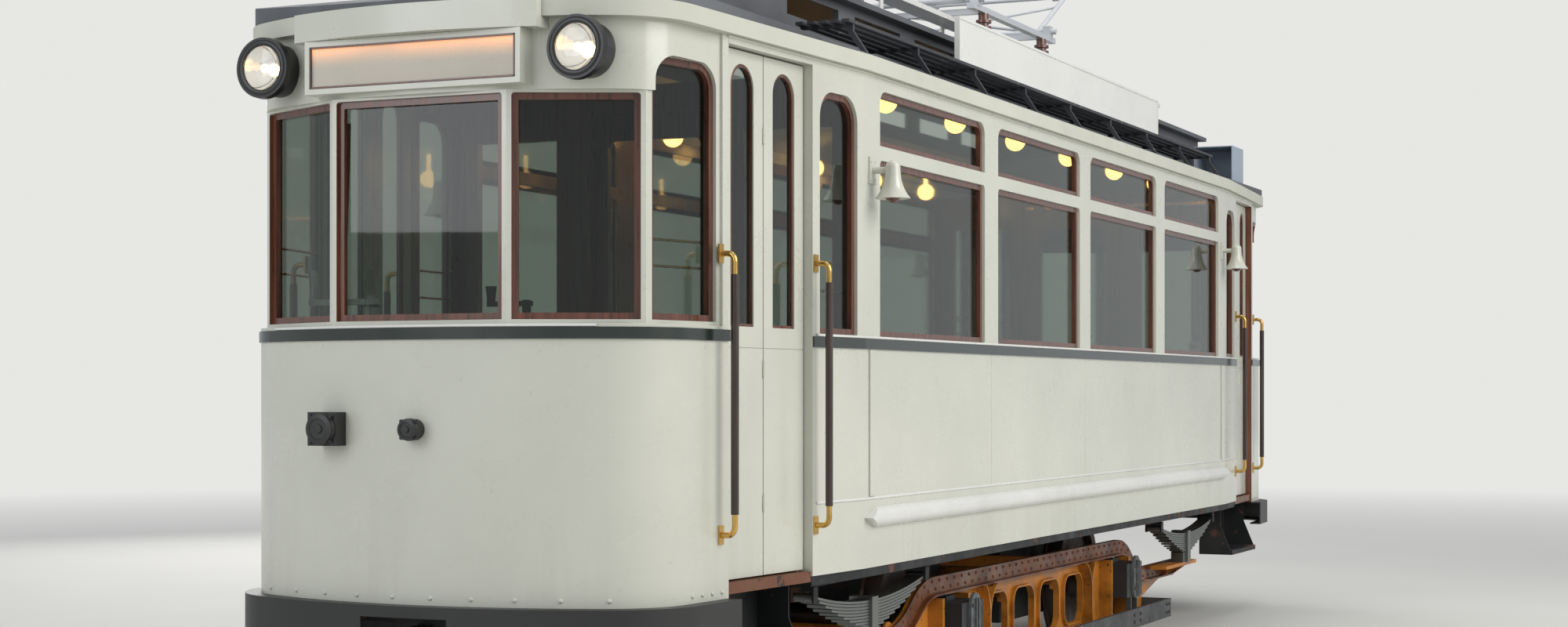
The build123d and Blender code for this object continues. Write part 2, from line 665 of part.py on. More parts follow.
# Clerestory: low upper roof with a row of small windows on each side
clerestory_window = (560, 95)
clerestory_pitch = 750
clerestory_windows = 8
clerestory_sill = 3110
with BuildPart() as clerestory:
    with BuildSketch(Plane.XZ):
        with Locations((0, (2900 + clerestory_eaves) / 2)):
            Rectangle(2 * clerestory_half_width, clerestory_eaves - 2900)
        add(arch_face(clerestory_half_width + eaves_out, clerestory_eaves + eaves_thickness, clerestory_crown,
                      clerestory_eaves))
    extrude(amount=clerestory_half_length, both=True)
    with BuildSketch(Plane.XZ):
        inner = clerestory_half_width - clerestory_wall
        add(arch_face(inner, clerestory_eaves, clerestory_crown - 30, 2800))
    extrude(amount=clerestory_half_length - 40, both=True, mode=Mode.SUBTRACT)
    for i in range(clerestory_windows):
        y = clerestory_pitch * (i - (clerestory_windows - 1) / 2)
        with Locations((0, y, clerestory_sill + clerestory_window[1] / 2)):
            Box(2 * clerestory_half_width + 10, clerestory_window[0], clerestory_window[1], mode=Mode.SUBTRACT)
    add(roof_outside.moved(Location((0, 0, seat_gap))), mode=Mode.SUBTRACT)
    with Locations((0, 0, 2800)):
        Box(3000, 12000, 200, mode=Mode.SUBTRACT)
clerestory.part.label = "clerestory"
export_step(clerestory.part, "parts/clerestory.step")

# Roof racks: curved brackets on the roof edge that carry long slats
rack_half_length = 3000
rack_pitch = 750
rack_count = 9
rack_outer_x = 925
slat_width = 34
slat_thickness = 14
slat_pitch = 52
slat_count = 5
slat_bottom = 3030
bracket_thickness = 10


def roof_height(x):
    """Height of the roof skin's outside at a distance x from the middle."""
    rise = roof_crown - cornice_top
    radius = (roof_edge_x**2 + rise * rise) / (2 * rise)
    return roof_crown - radius + sqrt(radius * radius - x * x)


rack_inner_x = rack_outer_x - (slat_count - 1) * slat_pitch - slat_width
rack_length = 2 * rack_half_length + 120
slat_middle = slat_bottom + slat_thickness / 2
slat_places = [(rack_outer_x - slat_width / 2 - i * slat_pitch, 0, slat_middle) for i in range(slat_count)]
with BuildPart() as roof_racks:
    with BuildSketch(Plane.XZ) as bracket:
        with BuildLine():
            foot = (985, roof_height(985) + seat_gap)
            toe = (955, roof_height(955) + seat_gap)
            knee = (rack_outer_x - 4, slat_bottom - 30)
            head = (rack_outer_x - 4, slat_bottom + 1)
            tail = (rack_inner_x, slat_bottom + 1)
            tail_low = (rack_inner_x, slat_bottom - 12)
            inner = (rack_outer_x - 40, slat_bottom - 12)
            Line(foot, toe)
            ThreePointArc(toe, (915, slat_bottom - 60), inner)
            Polyline(inner, tail_low, tail, head, knee)
            ThreePointArc(knee, (940, slat_bottom - 58), foot)
        make_face()
    extrude(amount=bracket_thickness, both=True)
    one_bracket = roof_racks.part
    places = [rack_pitch * (i - (rack_count - 1) / 2) for i in range(rack_count)]
    add([one_bracket.moved(Location((0, y, 0))) for y in places if y])
    with Locations(slat_places):
        Box(slat_width, rack_length, slat_thickness)
    mirror(about=Plane.YZ)
roof_racks.part.label = "roof_racks"
export_step(roof_racks.part, "parts/roof_racks.step")

# Route boards standing on the racks
board_half_length = 1730
board_height = 205
board_thickness = 26
board_bottom = slat_bottom + slat_thickness + seat_gap
with BuildPart() as route_boards:
    for _, side in sides:
        with Locations((side * (rack_outer_x - board_thickness / 2), 0, board_bottom + board_height / 2)):
            Box(board_thickness, 2 * board_half_length, board_height)
            with Locations((side * board_thickness / 2, 0, 0)):
                Box(8, 2 * board_half_length - 24, board_height - 24, mode=Mode.SUBTRACT)
route_boards.part.label = "route_boards"
export_step(route_boards.part, "parts/route_boards.step")

# Walkway planks over the clerestory on short stands
plank_x = 450
plank_width = 120
plank_thickness = 25
plank_bottom = 3400
plank_half_length = 3300
stand_pitch = 1100
stand_count = 6


def clerestory_height(x):
    """Height of the clerestory roof's outside at a distance x from the middle."""
    half = clerestory_half_width + eaves_out
    rise = clerestory_crown - clerestory_eaves - eaves_thickness
    radius = (half**2 + rise * rise) / (2 * rise)
    return clerestory_crown - radius + sqrt(radius * radius - x * x)


with BuildPart() as roof_walkway:
    for _, side in sides:
        with Locations((side * plank_x, 0, plank_bottom + plank_thickness / 2)):
            Box(plank_width, 2 * plank_half_length, plank_thickness)
        for i in range(stand_count):
            y = stand_pitch * (i - (stand_count - 1) / 2)
            for x in (plank_x - plank_width / 2 + 10, plank_x + plank_width / 2 - 10):
                foot = clerestory_height(x + 10) + 4
                with Locations((side * x, y, (foot + plank_bottom) / 2)):
                    Box(8, 40, plank_bottom - foot + 2)
    add(clerestory.part.moved(Location((0, 0, seat_gap))), mode=Mode.SUBTRACT)
roof_walkway.part.label = "roof_walkway"
export_step(roof_walkway.part, "parts/roof_walkway.step")

# Sheet box on the rear platform roof, open towards the front
box_inner_x, box_outer_x = 650, 912
box_start_y, box_end_y = 3650, 3965
box_top = 3165
box_sheet = 6
with BuildPart() as roof_box:
    with Locations(((box_inner_x + box_outer_x) / 2, (box_start_y + box_end_y) / 2, (box_top + 2800) / 2)):
        Box(box_outer_x - box_inner_x, box_end_y - box_start_y, box_top - 2800)
        with Locations((0, -box_sheet, -box_sheet)):
            Box(box_outer_x - box_inner_x - 2 * box_sheet, box_end_y - box_start_y, box_top - 2800,
                mode=Mode.SUBTRACT)
    add(roof_outside.moved(Location((0, 0, seat_gap))), mode=Mode.SUBTRACT)
    with Locations((0, 0, 2700)):
        Box(3000, 12000, 370, mode=Mode.SUBTRACT)
roof_box.part.label = "roof_box"
export_step(roof_box.part, "parts/roof_box.step")

# Headlamps, destination boxes and hoods on the curved headers
lamp_x = 660
lamp_z = 2700
lamp_face_y = 4885
lamp_ring_radius = 112
lamp_bowl_radius = 88
lamp_depth = 96
with BuildPart() as headlamps:
    for _, end in ends:
        for _, side in sides:
            face = Plane(origin=(side * lamp_x, end * lamp_face_y, lamp_z), x_dir=(1, 0, 0), z_dir=(0, end, 0))
            with BuildSketch(face):
                Circle(lamp_ring_radius)
            extrude(amount=-28, taper=-4)
            with BuildSketch(face.offset(-20)):
                Circle(lamp_ring_radius - 14)
            extrude(amount=-lamp_depth)
            with BuildSketch(face):
                Circle(lamp_bowl_radius)
            extrude(amount=-46, taper=12, mode=Mode.SUBTRACT)
    with BuildSketch(Plane.XY.offset(front_header)):
        add(body_plan(-header_inset + seat_gap))
    extrude(amount=wall_top - front_header, mode=Mode.SUBTRACT)
headlamps.part.label = "headlamps"
export_step(headlamps.part, "parts/headlamps.step")

box_half = 453
box_low, box_high = 2585, 2778
box_out = 4905
box_frame = 26
with BuildPart() as destination_boxes:
    for _, end in ends:
        face = Plane(origin=(0, end * box_out, (box_low + box_high) / 2), x_dir=(1, 0, 0), z_dir=(0, end, 0))
        with BuildSketch(face):
            Rectangle(2 * box_half, box_high - box_low)
        extrude(amount=-90)
        with BuildSketch(face):
            Rectangle(2 * (box_half - box_frame), box_high - box_low - 2 * box_frame)
        extrude(amount=-14, mode=Mode.SUBTRACT)
    with BuildSketch(Plane.XY.offset(front_header)):
        add(body_plan(-header_inset + seat_gap))
    extrude(amount=wall_top - front_header, mode=Mode.SUBTRACT)
destination_boxes.part.label = "destination_boxes"
export_step(destination_boxes.part, "parts/destination_boxes.step")

hood_half = 510
hood_low = box_high + 1
hood_out = 62
hood_top = cornice_top - 4
with BuildPart() as hoods:
    for low, high, inner in ((hood_low, wall_top - 1, header_plan), (hood_low, hood_top, body_plan(cornice_out + 1))):
        with BuildSketch(Plane.XY.offset(low)):
            add(body_plan(hood_out))
            add(inner, mode=Mode.SUBTRACT)
            with Locations((hood_half + 1000, 0), (-hood_half - 1000, 0)):
                Rectangle(2000, 12000, mode=Mode.SUBTRACT)
        extrude(amount=high - low)
hoods.part.label = "hoods"
export_step(hoods.part, "parts/hoods.step")

# Wrap-around bumpers under the dashes
bumper_bottom = 592
bumper_top = dash_bottom - seat_gap
bumper_web = 10
bumper_slot = 360
with BuildPart() as bumpers:
    with BuildSketch(Plane.XY.offset(bumper_bottom)):
        add(bumper_outer_plan)
        add(body_plan(60 - bumper_web), mode=Mode.SUBTRACT)
    extrude(amount=bumper_top - bumper_bottom)
    for z in (bumper_bottom, bumper_top - bumper_web):
        with BuildSketch(Plane.XY.offset(z)):
            add(bumper_outer_plan)
            add(bumper_inner_plan, mode=Mode.SUBTRACT)
        extrude(amount=bumper_web)
    with Locations((0, 0, bumper_bottom + 75)):
        Box(4000, 2 * door_outer + 20, 400, mode=Mode.SUBTRACT)
    for _, end in ends:
        for _, side in sides:
            with Locations((side * 560, end * 4760, 710)):
                Box(70, 80, 62)
        with Locations((0, end * 4940, bumper_bottom + 50)):
            Box(bumper_slot, 200, 120, mode=Mode.SUBTRACT)
bumpers.part.label = "bumpers"
export_step(bumpers.part, "parts/bumpers.step")

# Truck: two pressed side frames with flanged windows, forked ribs, riveted top chords and spring seats
frame_x = 708
web_thickness = 14
chord_thickness = 14
chord_height = 90
lip_depth = 26
lip_thickness = 10
frame_top = 628
seat_top = 432
seat_start = 2150
seat_end = 2880
seat_slant = 160
arch_start = 1540
web_foot = 175
gusset_foot_y = 2095
gusset_bend_y, gusset_bend_z = 2120, 250
gusset_top_y = 2560
pedestal_half = 165
pedestal_top = frame_top - chord_height - 8
jaw_thickness = 28
jaw_out = 790
tie_thickness = 24
frame_window_width = 330
frame_window_pitch = 436
frame_window_count = 4
frame_window_low = 217
frame_window_high = 484
frame_window_radius = 80
flange_thickness = 9
window_flange_depth = 20
rib_y = 870
rib_out = 778
rib_fork_z = 400
rib_thickness = 11
transom_y = frame_window_pitch
transom_depth = 70
transom_height = 150
transom_z = 520
end_tube_radius = 38
end_tube_y = 2060

# The chord's fall beyond the axle is two equal arcs, worked out from its run and its drop
fall_run = seat_start - arch_start
fall_drop = frame_top - seat_top
fall_angle = 2 * atan(fall_drop / fall_run)
fall_radius = fall_run / (2 * sin(fall_angle))


def chord_points(end, depth):
    """Points of the chord's fall for one end, moved down from the top edge by a depth."""
    upper = fall_radius - depth
    lower = fall_radius + depth
    half = fall_angle / 2
    start = (end * arch_start, frame_top - depth)
    first = (end * (arch_start + upper * sin(half)), frame_top - fall_radius + upper * cos(half))
    middle = (end * (arch_start + upper * sin(fall_angle)), frame_top - fall_radius + upper * cos(fall_angle))
    second = (end * (seat_start - lower * sin(half)), seat_top + fall_radius - lower * cos(half))
    finish = (end * seat_start, seat_top - depth)
    return start, first, middle, second, finish


def chord_tip(end, depth):
    """Slanted end of the chord at a depth below its top edge."""
    return end * (seat_end - seat_slant * depth / chord_height), seat_top - depth


def chord_band(depth, thickness):
    """Band that follows the top edge of a side frame from tip to tip."""
    with BuildSketch() as band:
        with BuildLine():
            for level in (depth, depth + thickness):
                Line((-arch_start, frame_top - level), (arch_start, frame_top - level))
                for _, end in ends:
                    start, first, middle, second, finish = chord_points(end, level)
                    ThreePointArc(start, first, middle)
                    ThreePointArc(middle, second, finish)
                    Line(finish, chord_tip(end, level))
            for _, end in ends:
                Line(chord_tip(end, depth), chord_tip(end, depth + thickness))
        make_face()
    return band.sketch


def frame_web():
    """Outline of one side frame's web with its windows and pedestal gaps."""
    with BuildSketch() as web:
        with BuildLine():
            Line((-arch_start, frame_top), (arch_start, frame_top))
            for _, end in ends:
                start, first, middle, second, finish = chord_points(end, 0)
                ThreePointArc(start, first, middle)
                ThreePointArc(middle, second, finish)
                Line(finish, chord_tip(end, 0))
                Line(chord_tip(end, 0), chord_tip(end, chord_height))
                Line(chord_tip(end, chord_height), (end * gusset_top_y, seat_top - chord_height))
                Line((end * gusset_top_y, seat_top - chord_height), (end * gusset_bend_y, gusset_bend_z))
                Line((end * gusset_bend_y, gusset_bend_z), (end * gusset_foot_y, web_foot))
            Line((-gusset_foot_y, web_foot), (gusset_foot_y, web_foot))
        make_face()
        for _, end in ends:
            with Locations((end * axle_y, (web_foot + pedestal_top) / 2 - 5)):
                Rectangle(2 * pedestal_half, pedestal_top - web_foot + 10, mode=Mode.SUBTRACT)
        with Locations((0, (frame_window_low + frame_window_high) / 2)):
            with GridLocations(frame_window_pitch, 1, frame_window_count, 1):
                RectangleRounded(frame_window_width, frame_window_high - frame_window_low, frame_window_radius,
                                 mode=Mode.SUBTRACT)
    return web.sketch


def window_flanges():
    """Rims pressed outwards round the windows of one side frame."""
    height = frame_window_high - frame_window_low
    with BuildSketch() as rims:
        with Locations((0, (frame_window_low + frame_window_high) / 2)):
            with GridLocations(frame_window_pitch, 1, frame_window_count, 1):
                RectangleRounded(frame_window_width + 2 * flange_thickness, height + 2 * flange_thickness,
                                 frame_window_radius + flange_thickness)
                RectangleRounded(frame_window_width, height, frame_window_radius, mode=Mode.SUBTRACT)
    return rims.sketch


def forked_ribs():
    """Upright ribs between the outer windows and the axle boxes, forked at the top like a Y."""
    top = frame_top - chord_height + 5
    half = rib_thickness / 2
    with BuildSketch() as ribs:
        for _, end in ends:
            with Locations((end * rib_y, (web_foot + rib_fork_z) / 2)):
                Rectangle(rib_thickness, rib_fork_z - web_foot)
            for lean, spread in ((-1, 110), (1, 60)):
                tip = end * (rib_y + lean * spread)
                bend = end * (rib_y + lean * spread * 0.22)
                mid_z = (rib_fork_z + top) / 2
                with BuildLine():
                    ThreePointArc((end * rib_y - half, rib_fork_z - 30), (bend - half, mid_z), (tip - half, top))
                    Line((tip - half, top), (tip + half, top))
                    ThreePointArc((tip + half, top), (bend + half, mid_z), (end * rib_y + half, rib_fork_z - 30))
                    Line((end * rib_y + half, rib_fork_z - 30), (end * rib_y - half, rib_fork_z - 30))
                make_face()
    return ribs.sketch


web_outline = frame_web()
chord_outline = chord_band(0, chord_height)
lip_outline = chord_band(chord_height - lip_thickness, lip_thickness)
rim_outline = window_flanges()
rib_outline = forked_ribs()
seat_plate = 20
seat_plate_out = 862
gusset_spread = 120
gusset_thickness = 14
frame_inner_x = frame_x - web_thickness / 2
frame_outer_x = frame_x + web_thickness / 2
truck_side = Plane(origin=(frame_x, 0, 0), x_dir=(0, 1, 0), z_dir=(1, 0, 0))
pedestal_middle = (web_foot + pedestal_top) / 2
with BuildPart() as truck_frame:
    with BuildSketch(truck_side):
        add(web_outline)
    extrude(amount=web_thickness / 2, both=True)
    for outline, depth in ((chord_outline, chord_thickness), (lip_outline, chord_thickness + lip_depth),
                           (rim_outline, window_flange_depth), (rib_outline, rib_out - frame_outer_x)):
        with BuildSketch(truck_side.offset(web_thickness / 2)):
            add(outline)
        extrude(amount=depth)
    for _, end in ends:
        with Locations(((frame_x + seat_plate_out) / 2, end * (seat_start + seat_end) / 2, seat_top - seat_plate / 2)):
            Box(seat_plate_out - frame_x, seat_end - seat_start, seat_plate)
        for y in (spring_y - gusset_spread, spring_y + gusset_spread):
            with BuildSketch(Plane.XZ.offset(-end * y)):
                with BuildLine():
                    Polyline(
                        (frame_x, seat_top - seat_plate / 2), (seat_plate_out - 12, seat_top - seat_plate / 2),
                        (frame_x + 30, seat_top - chord_height), (frame_x, seat_top - chord_height), close=True,
                    )
                make_face()
            extrude(amount=gusset_thickness / 2, both=True)
        jaw_places = [end * (axle_y + jaw * (pedestal_half + jaw_thickness / 2)) for jaw in (-1, 1)]
        with Locations([((frame_inner_x + jaw_out) / 2, y, pedestal_middle) for y in jaw_places]):
            Box(jaw_out - frame_inner_x, jaw_thickness, pedestal_top - web_foot)
        with Locations((frame_x + 20, end * axle_y, web_foot - tie_thickness / 2)):
            Box(90, 2 * (pedestal_half + jaw_thickness) + 40, tie_thickness)
    mirror(about=Plane.YZ)
    for _, end in ends:
        transom_half = frame_inner_x - seat_gap
        with Locations((0, end * transom_y, transom_z)):
            Box(2 * transom_half, transom_depth, transom_height)
            Box(2 * transom_half + 2, transom_depth - 24, transom_height - 24, mode=Mode.SUBTRACT)
            for _, side in sides:
                with Locations((side * (transom_half - 9), 0, 0)):
                    Box(18, transom_depth + 60, transom_height + 40)
        with Locations((0, end * end_tube_y, 400)):
            Cylinder(end_tube_radius, 2 * transom_half, rotation=(0, 90, 0))
        for _, side in sides:
            with Locations((side * (transom_half - 5), end * end_tube_y, 400)):
                Cylinder(end_tube_radius + 22, 10, rotation=(0, 90, 0))
truck_frame.part.label = "truck_frame"
export_step(truck_frame.part, "parts/truck_frame.step")

# Wheelsets: an axle with its journals and two wheels with flanges, seated on it
hub_radius = 105
rim_inner = 325
hub_out = 10
wheel_inner_face = back_to_back_half
wheel_outer_face = back_to_back_half + wheel_width
collar_radius = axle_radius + 8
collar_start = wheel_outer_face + hub_out + seat_gap
collar_end = wheel_outer_face + 60
with BuildPart() as wheelset:
    with BuildSketch(Plane.XY):
        with BuildLine():
            Polyline(
                (0, 0), (0, axle_radius), (collar_start, axle_radius), (collar_start, collar_radius),
                (collar_end, collar_radius), (collar_end, journal_radius), (journal_end, journal_radius),
                (journal_end, 0), (0, 0),
            )
        make_face()
    revolve(axis=Axis.X)
    with BuildSketch(Plane.XY):
        with BuildLine():
            a = wheel_inner_face
            b = a + flange_width
            c = wheel_outer_face
            bore = axle_radius + seat_gap
            Polyline(
                (a - 30, bore), (a - 30, hub_radius), (a + 30, hub_radius), (a + 36, rim_inner), (a + 4, rim_inner),
                (a, wheel_radius + flange_height - 8), (a + 8, wheel_radius + flange_height),
                (b - 8, wheel_radius + flange_height - 2), (b, wheel_radius + 2), (c, wheel_radius - 5),
                (c, rim_inner), (a + 66, rim_inner), (a + 70, hub_radius + 20), (c + hub_out, hub_radius),
                (c + hub_out, bore), (a - 30, bore),
            )
        make_face()
    revolve(axis=Axis.X)
    mirror(about=Plane.YZ)
for end_name, end in ends:
    placed = wheelset.part.moved(Location((0, end * axle_y, axle_height)))
    placed.label = f"wheelset_{end_name}"
    export_step(placed, f"parts/wheelset_{end_name}.step")

# Axle boxes between the pedestal jaws, with their forks outside and rubber rests inside
box_gap = 0.5
axle_box_inner, axle_box_outer = 655, 872
axle_box_height = 195
cover_width = 130
cover_length = 250
cover_high = 549
cover_thickness = 16
cover_rib_width = 46
cover_rib_out = 12
with BuildPart() as axle_boxes:
    for _, side in sides:
        for _, end in ends:
            middle = (axle_box_inner + axle_box_outer) / 2
            with Locations((side * middle, end * axle_y, axle_height)):
                Box(axle_box_outer - axle_box_inner, 2 * (pedestal_half - box_gap) - 20, axle_box_height)
            with Locations((side * (frame_x + 20), end * axle_y, axle_height)):
                Box(80, 2 * (pedestal_half - box_gap), 150)
            with Locations((side * (frame_x + 15), end * axle_y, pedestal_top - seat_gap)):
                Box(70, 120, pedestal_top - axle_height - axle_box_height / 2 + 1,
                    align=(Align.CENTER, Align.CENTER, Align.MAX))
            cover_face = Plane(origin=(side * axle_box_outer, end * axle_y, 0), x_dir=(0, side, 0), z_dir=(side, 0, 0))
            with BuildSketch(cover_face):
                with Locations((0, cover_high - cover_length / 2)):
                    SlotOverall(cover_length, cover_width, rotation=90)
            extrude(amount=cover_thickness)
            with BuildSketch(cover_face.offset(cover_thickness)):
                with Locations((0, cover_high - 26 - (cover_length - 40) / 2)):
                    Rectangle(cover_rib_width, cover_length - 40)
                    Rectangle(cover_rib_width - 20, cover_length - 38, mode=Mode.SUBTRACT)
            extrude(amount=cover_rib_out)
            reach = journal_end + 5 - axle_box_inner + 10
            with Locations((side * (axle_box_inner - 10 + reach / 2), end * axle_y, axle_height)):
                Cylinder(journal_radius + journal_play, reach, rotation=(0, 90, 0), mode=Mode.SUBTRACT)
axle_boxes.part.label = "axle_boxes"
export_step(axle_boxes.part, "parts/axle_boxes.step")

# Leaf springs: leaves bent up at both ends, clamped in a buckle that stands on the truck's seat
leaf_gap = 2.5
leaf_thickness = spring_leaf - leaf_gap
spring_width = 84
main_half = 640
short_share = 0.8
buckle_wall = 12
buckle_length = 70
saddle_length = 190
spring_radius = (main_half**2 + spring_rise**2) / (2 * spring_rise)
buckle_low = seat_top + seat_gap
buckle_high = spring_pack_top + buckle_wall
saddle_high = spring_pack_bottom - 6
with BuildPart() as leaf_springs:
    for i in range(spring_leaf_count):
        half = main_half * (1 - short_share * (spring_leaf_count - 1 - i) / (spring_leaf_count - 1))
        low = spring_pack_bottom + i * spring_leaf
        tip = low + spring_radius - sqrt(spring_radius**2 - half**2)
        with BuildSketch(Plane.YZ.offset(spring_x)):
            with BuildLine():
                ThreePointArc((spring_y - half, tip), (spring_y, low), (spring_y + half, tip))
                Line((spring_y + half, tip), (spring_y + half, tip + leaf_thickness))
                ThreePointArc((spring_y + half, tip + leaf_thickness), (spring_y, low + leaf_thickness),
                              (spring_y - half, tip + leaf_thickness))
                Line((spring_y - half, tip + leaf_thickness), (spring_y - half, tip))
            make_face()
        extrude(amount=spring_width / 2, both=True)
    with Locations((spring_x, spring_y, (buckle_low + buckle_high) / 2)):
        Box(spring_width + 2 * buckle_wall, buckle_length, buckle_high - buckle_low)
    with Locations((spring_x, spring_y, (buckle_low + saddle_high) / 2)):
        Box(spring_width - 6, saddle_length, saddle_high - buckle_low)
    with Locations((spring_x, spring_y - hanger_reach, hanger_eye_z), (spring_x, spring_y + hanger_reach, hanger_eye_z)):
        Cylinder(hanger_eye_radius, spring_width - 4, rotation=(0, 90, 0))
    mirror(about=Plane.XZ)
    mirror(about=Plane.YZ)
leaf_springs.part.label = "leaf_springs"
export_step(leaf_springs.part, "parts/leaf_springs.step")

# Traction motors: one plain block on the inner side of each axle, hung from the transom
motor_half_width = 360
motor_height = 400
motor_near = 70
with BuildPart() as motors:
    for _, end in ends:
        start = axle_y - motor_near
        finish = transom_y + transom_depth / 2 + seat_gap
        with Locations((0, end * (start + finish) / 2, axle_height + 5)):
            Box(2 * motor_half_width, start - finish, motor_height)
motors.part.label = "motors"
export_step(motors.part, "parts/motors.step")

# Brake gear: a shoe on the outer side of each wheel, on hangers from a cross beam
shoe_gap = 6
shoe_thickness = 40
shoe_width = 76
brake_beam_radius = 24
brake_beam_drop = 100
wheel_middle = back_to_back_half + flange_width + (wheel_width - flange_width) / 2
brake_beam_y = axle_y + wheel_radius + shoe_gap + shoe_thickness + 60
with BuildPart() as brake_gear:
    for _, end in ends:
        with Locations((0, end * brake_beam_y, axle_height - brake_beam_drop)):
            Cylinder(brake_beam_radius, 2 * (frame_inner_x - seat_gap), rotation=(0, 90, 0))
        for _, side in sides:
            with BuildSketch(Plane.YZ.offset(side * wheel_middle)):
                with Locations((end * axle_y, axle_height)):
                    Circle(wheel_radius + shoe_gap + shoe_thickness)
                    Circle(wheel_radius + shoe_gap, mode=Mode.SUBTRACT)
                with Locations((end * (axle_y - 500), axle_height)):
                    Rectangle(1640, 2000, mode=Mode.SUBTRACT)
                with Locations((end * axle_y, axle_height + 380), (end * axle_y, axle_height - 600)):
                    Rectangle(2000, 760, mode=Mode.SUBTRACT)
            extrude(amount=shoe_width / 2, both=True)
            link_start = axle_y + wheel_radius + shoe_gap + shoe_thickness - 12
            link_end = brake_beam_y - brake_beam_radius - seat_gap
            with Locations((side * wheel_middle, end * (link_start + link_end) / 2, axle_height - brake_beam_drop)):
                Box(30, link_end - link_start, 60)
brake_gear.part.label = "brake_gear"
export_step(brake_gear.part, "parts/brake_gear.step")

# Low guard frame along each side, hung from the axle boxes by two straps each
guard_x = 880
guard_low, guard_high = 130, 240
guard_half_length = 2150
guard_sheet = 22
strap_spread = 62
with BuildPart() as guard_frame:
    for _, side in sides:
        with Locations((side * guard_x, 0, (guard_low + guard_high) / 2)):
            Box(guard_sheet, 2 * guard_half_length, guard_high - guard_low)
        for _, end in ends:
            for reach in (-1, 1):
                y = end * axle_y + reach * strap_spread
                with Locations((side * (guard_x - guard_sheet / 2 - 14), y, (guard_low + 335) / 2 - 8)):
                    Box(30, 16, 335 - 16 - guard_low)
    for _, end in ends:
        with Locations((0, end * (guard_half_length - guard_sheet / 2), (guard_low + guard_high) / 2)):
            Box(2 * (guard_x - guard_sheet / 2 - seat_gap), guard_sheet, guard_high - guard_low)
    add(axle_boxes.part.moved(Location((0, 0, -seat_gap))), mode=Mode.SUBTRACT)
guard_frame.part.label = "guard_frame"
export_step(guard_frame.part, "parts/guard_frame.step")

# Couplers: a bracket on the headstock and a drawbar with a pin eye at each end
coupler_height = 640
eye_y = 5030
eye_radius = 45
pin_hole_radius = 17
drawbar_thickness = 44
with BuildPart() as couplers:
    for _, end in ends:
        with Locations((0, end * (headstock_y + 30 + 40), coupler_height)):
            Box(260, 80, 100)
        with Locations((0, end * (headstock_y + 110 + eye_y) / 2, coupler_height)):
            Box(70, eye_y - headstock_y - 110, drawbar_thickness)
        with Locations((0, end * eye_y, coupler_height)):
            Cylinder(eye_radius, drawbar_thickness)
            Cylinder(pin_hole_radius, drawbar_thickness + 4, mode=Mode.SUBTRACT)
couplers.part.label = "couplers"
export_step(couplers.part, "parts/couplers.step")

# Brown window frames inside every window opening, and the glass behind them
frames = [extrude(outline - hole, amount=-frame_depth) for outline, hole in zip(frame_outlines, frame_holes)]
with BuildPart() as window_frames:
    add(frames)
window_frames.part.label = "window_frames"
export_step(window_frames.part, "parts/window_frames.step")

panes = [extrude(outline, amount=-glass) for outline in glass_outlines]
with BuildPart() as glazing:
    add(panes)
glazing.part.label = "glazing"
export_step(glazing.part, "parts/glazing.step")

# Handrails beside every door: turned wooden rods in brass brackets with screw plates
rail_low, rail_high = 980, 2010
rail_out = 62
rod_radius = 15
rod_low, rod_high = rail_low + 75, rail_high - 75
rail_places = (door_inner - 22, door_outer + 62)
with BuildPart() as handrail_brackets:
    for _, side in sides:
        for _, end in ends:
            for y in rail_places:
                wall_face = side_plane(side, end * y)
                for z, reach in ((rail_low, 1), (rail_high, -1)):
                    with Locations(Location(wall_face) * Location((0, z, 3.3))):
                        Box(34, 70, 6)
                    with BuildLine() as bend:
                        start = wall_face.from_local_coords((0, z, 6))
                        corner = wall_face.from_local_coords((0, z, rail_out))
                        tip = wall_face.from_local_coords((0, z + reach * 76, rail_out))
                        FilletPolyline(start, corner, tip, radius=30)
                    with BuildSketch(Plane(origin=start, z_dir=wall_face.z_dir)):
                        Circle(11)
                    sweep(path=bend.line)
handrail_brackets.part.label = "handrail_brackets"
export_step(handrail_brackets.part, "parts/handrail_brackets.step")

with BuildPart() as handrail_rods:
    for _, side in sides:
        for _, end in ends:
            for y in rail_places:
                wall_face = side_plane(side, end * y)
                base = wall_face.from_local_coords((0, (rod_low + rod_high) / 2, rail_out))
                with Locations(base):
                    Cylinder(rod_radius, rod_high - rod_low - 2.6)
handrail_rods.part.label = "handrail_rods"
export_step(handrail_rods.part, "parts/handrail_rods.step")

# Belt strips and fender rails
belt_height = 42
belt_top = pane_sill - 12
belt_out = 8
with BuildPart() as belt_strips:
    for low, near, far in ((belt_top - belt_height, 0, door_inner), (dash_top - 12 - belt_height, door_outer, 9000)):
        with BuildSketch(Plane.XY.offset(low)):
            add(plan_ring(body_plan(belt_out), body_plan(seat_gap), near, far))
        extrude(amount=belt_height)
belt_strips.part.label = "belt_strips"
export_step(belt_strips.part, "parts/belt_strips.step")

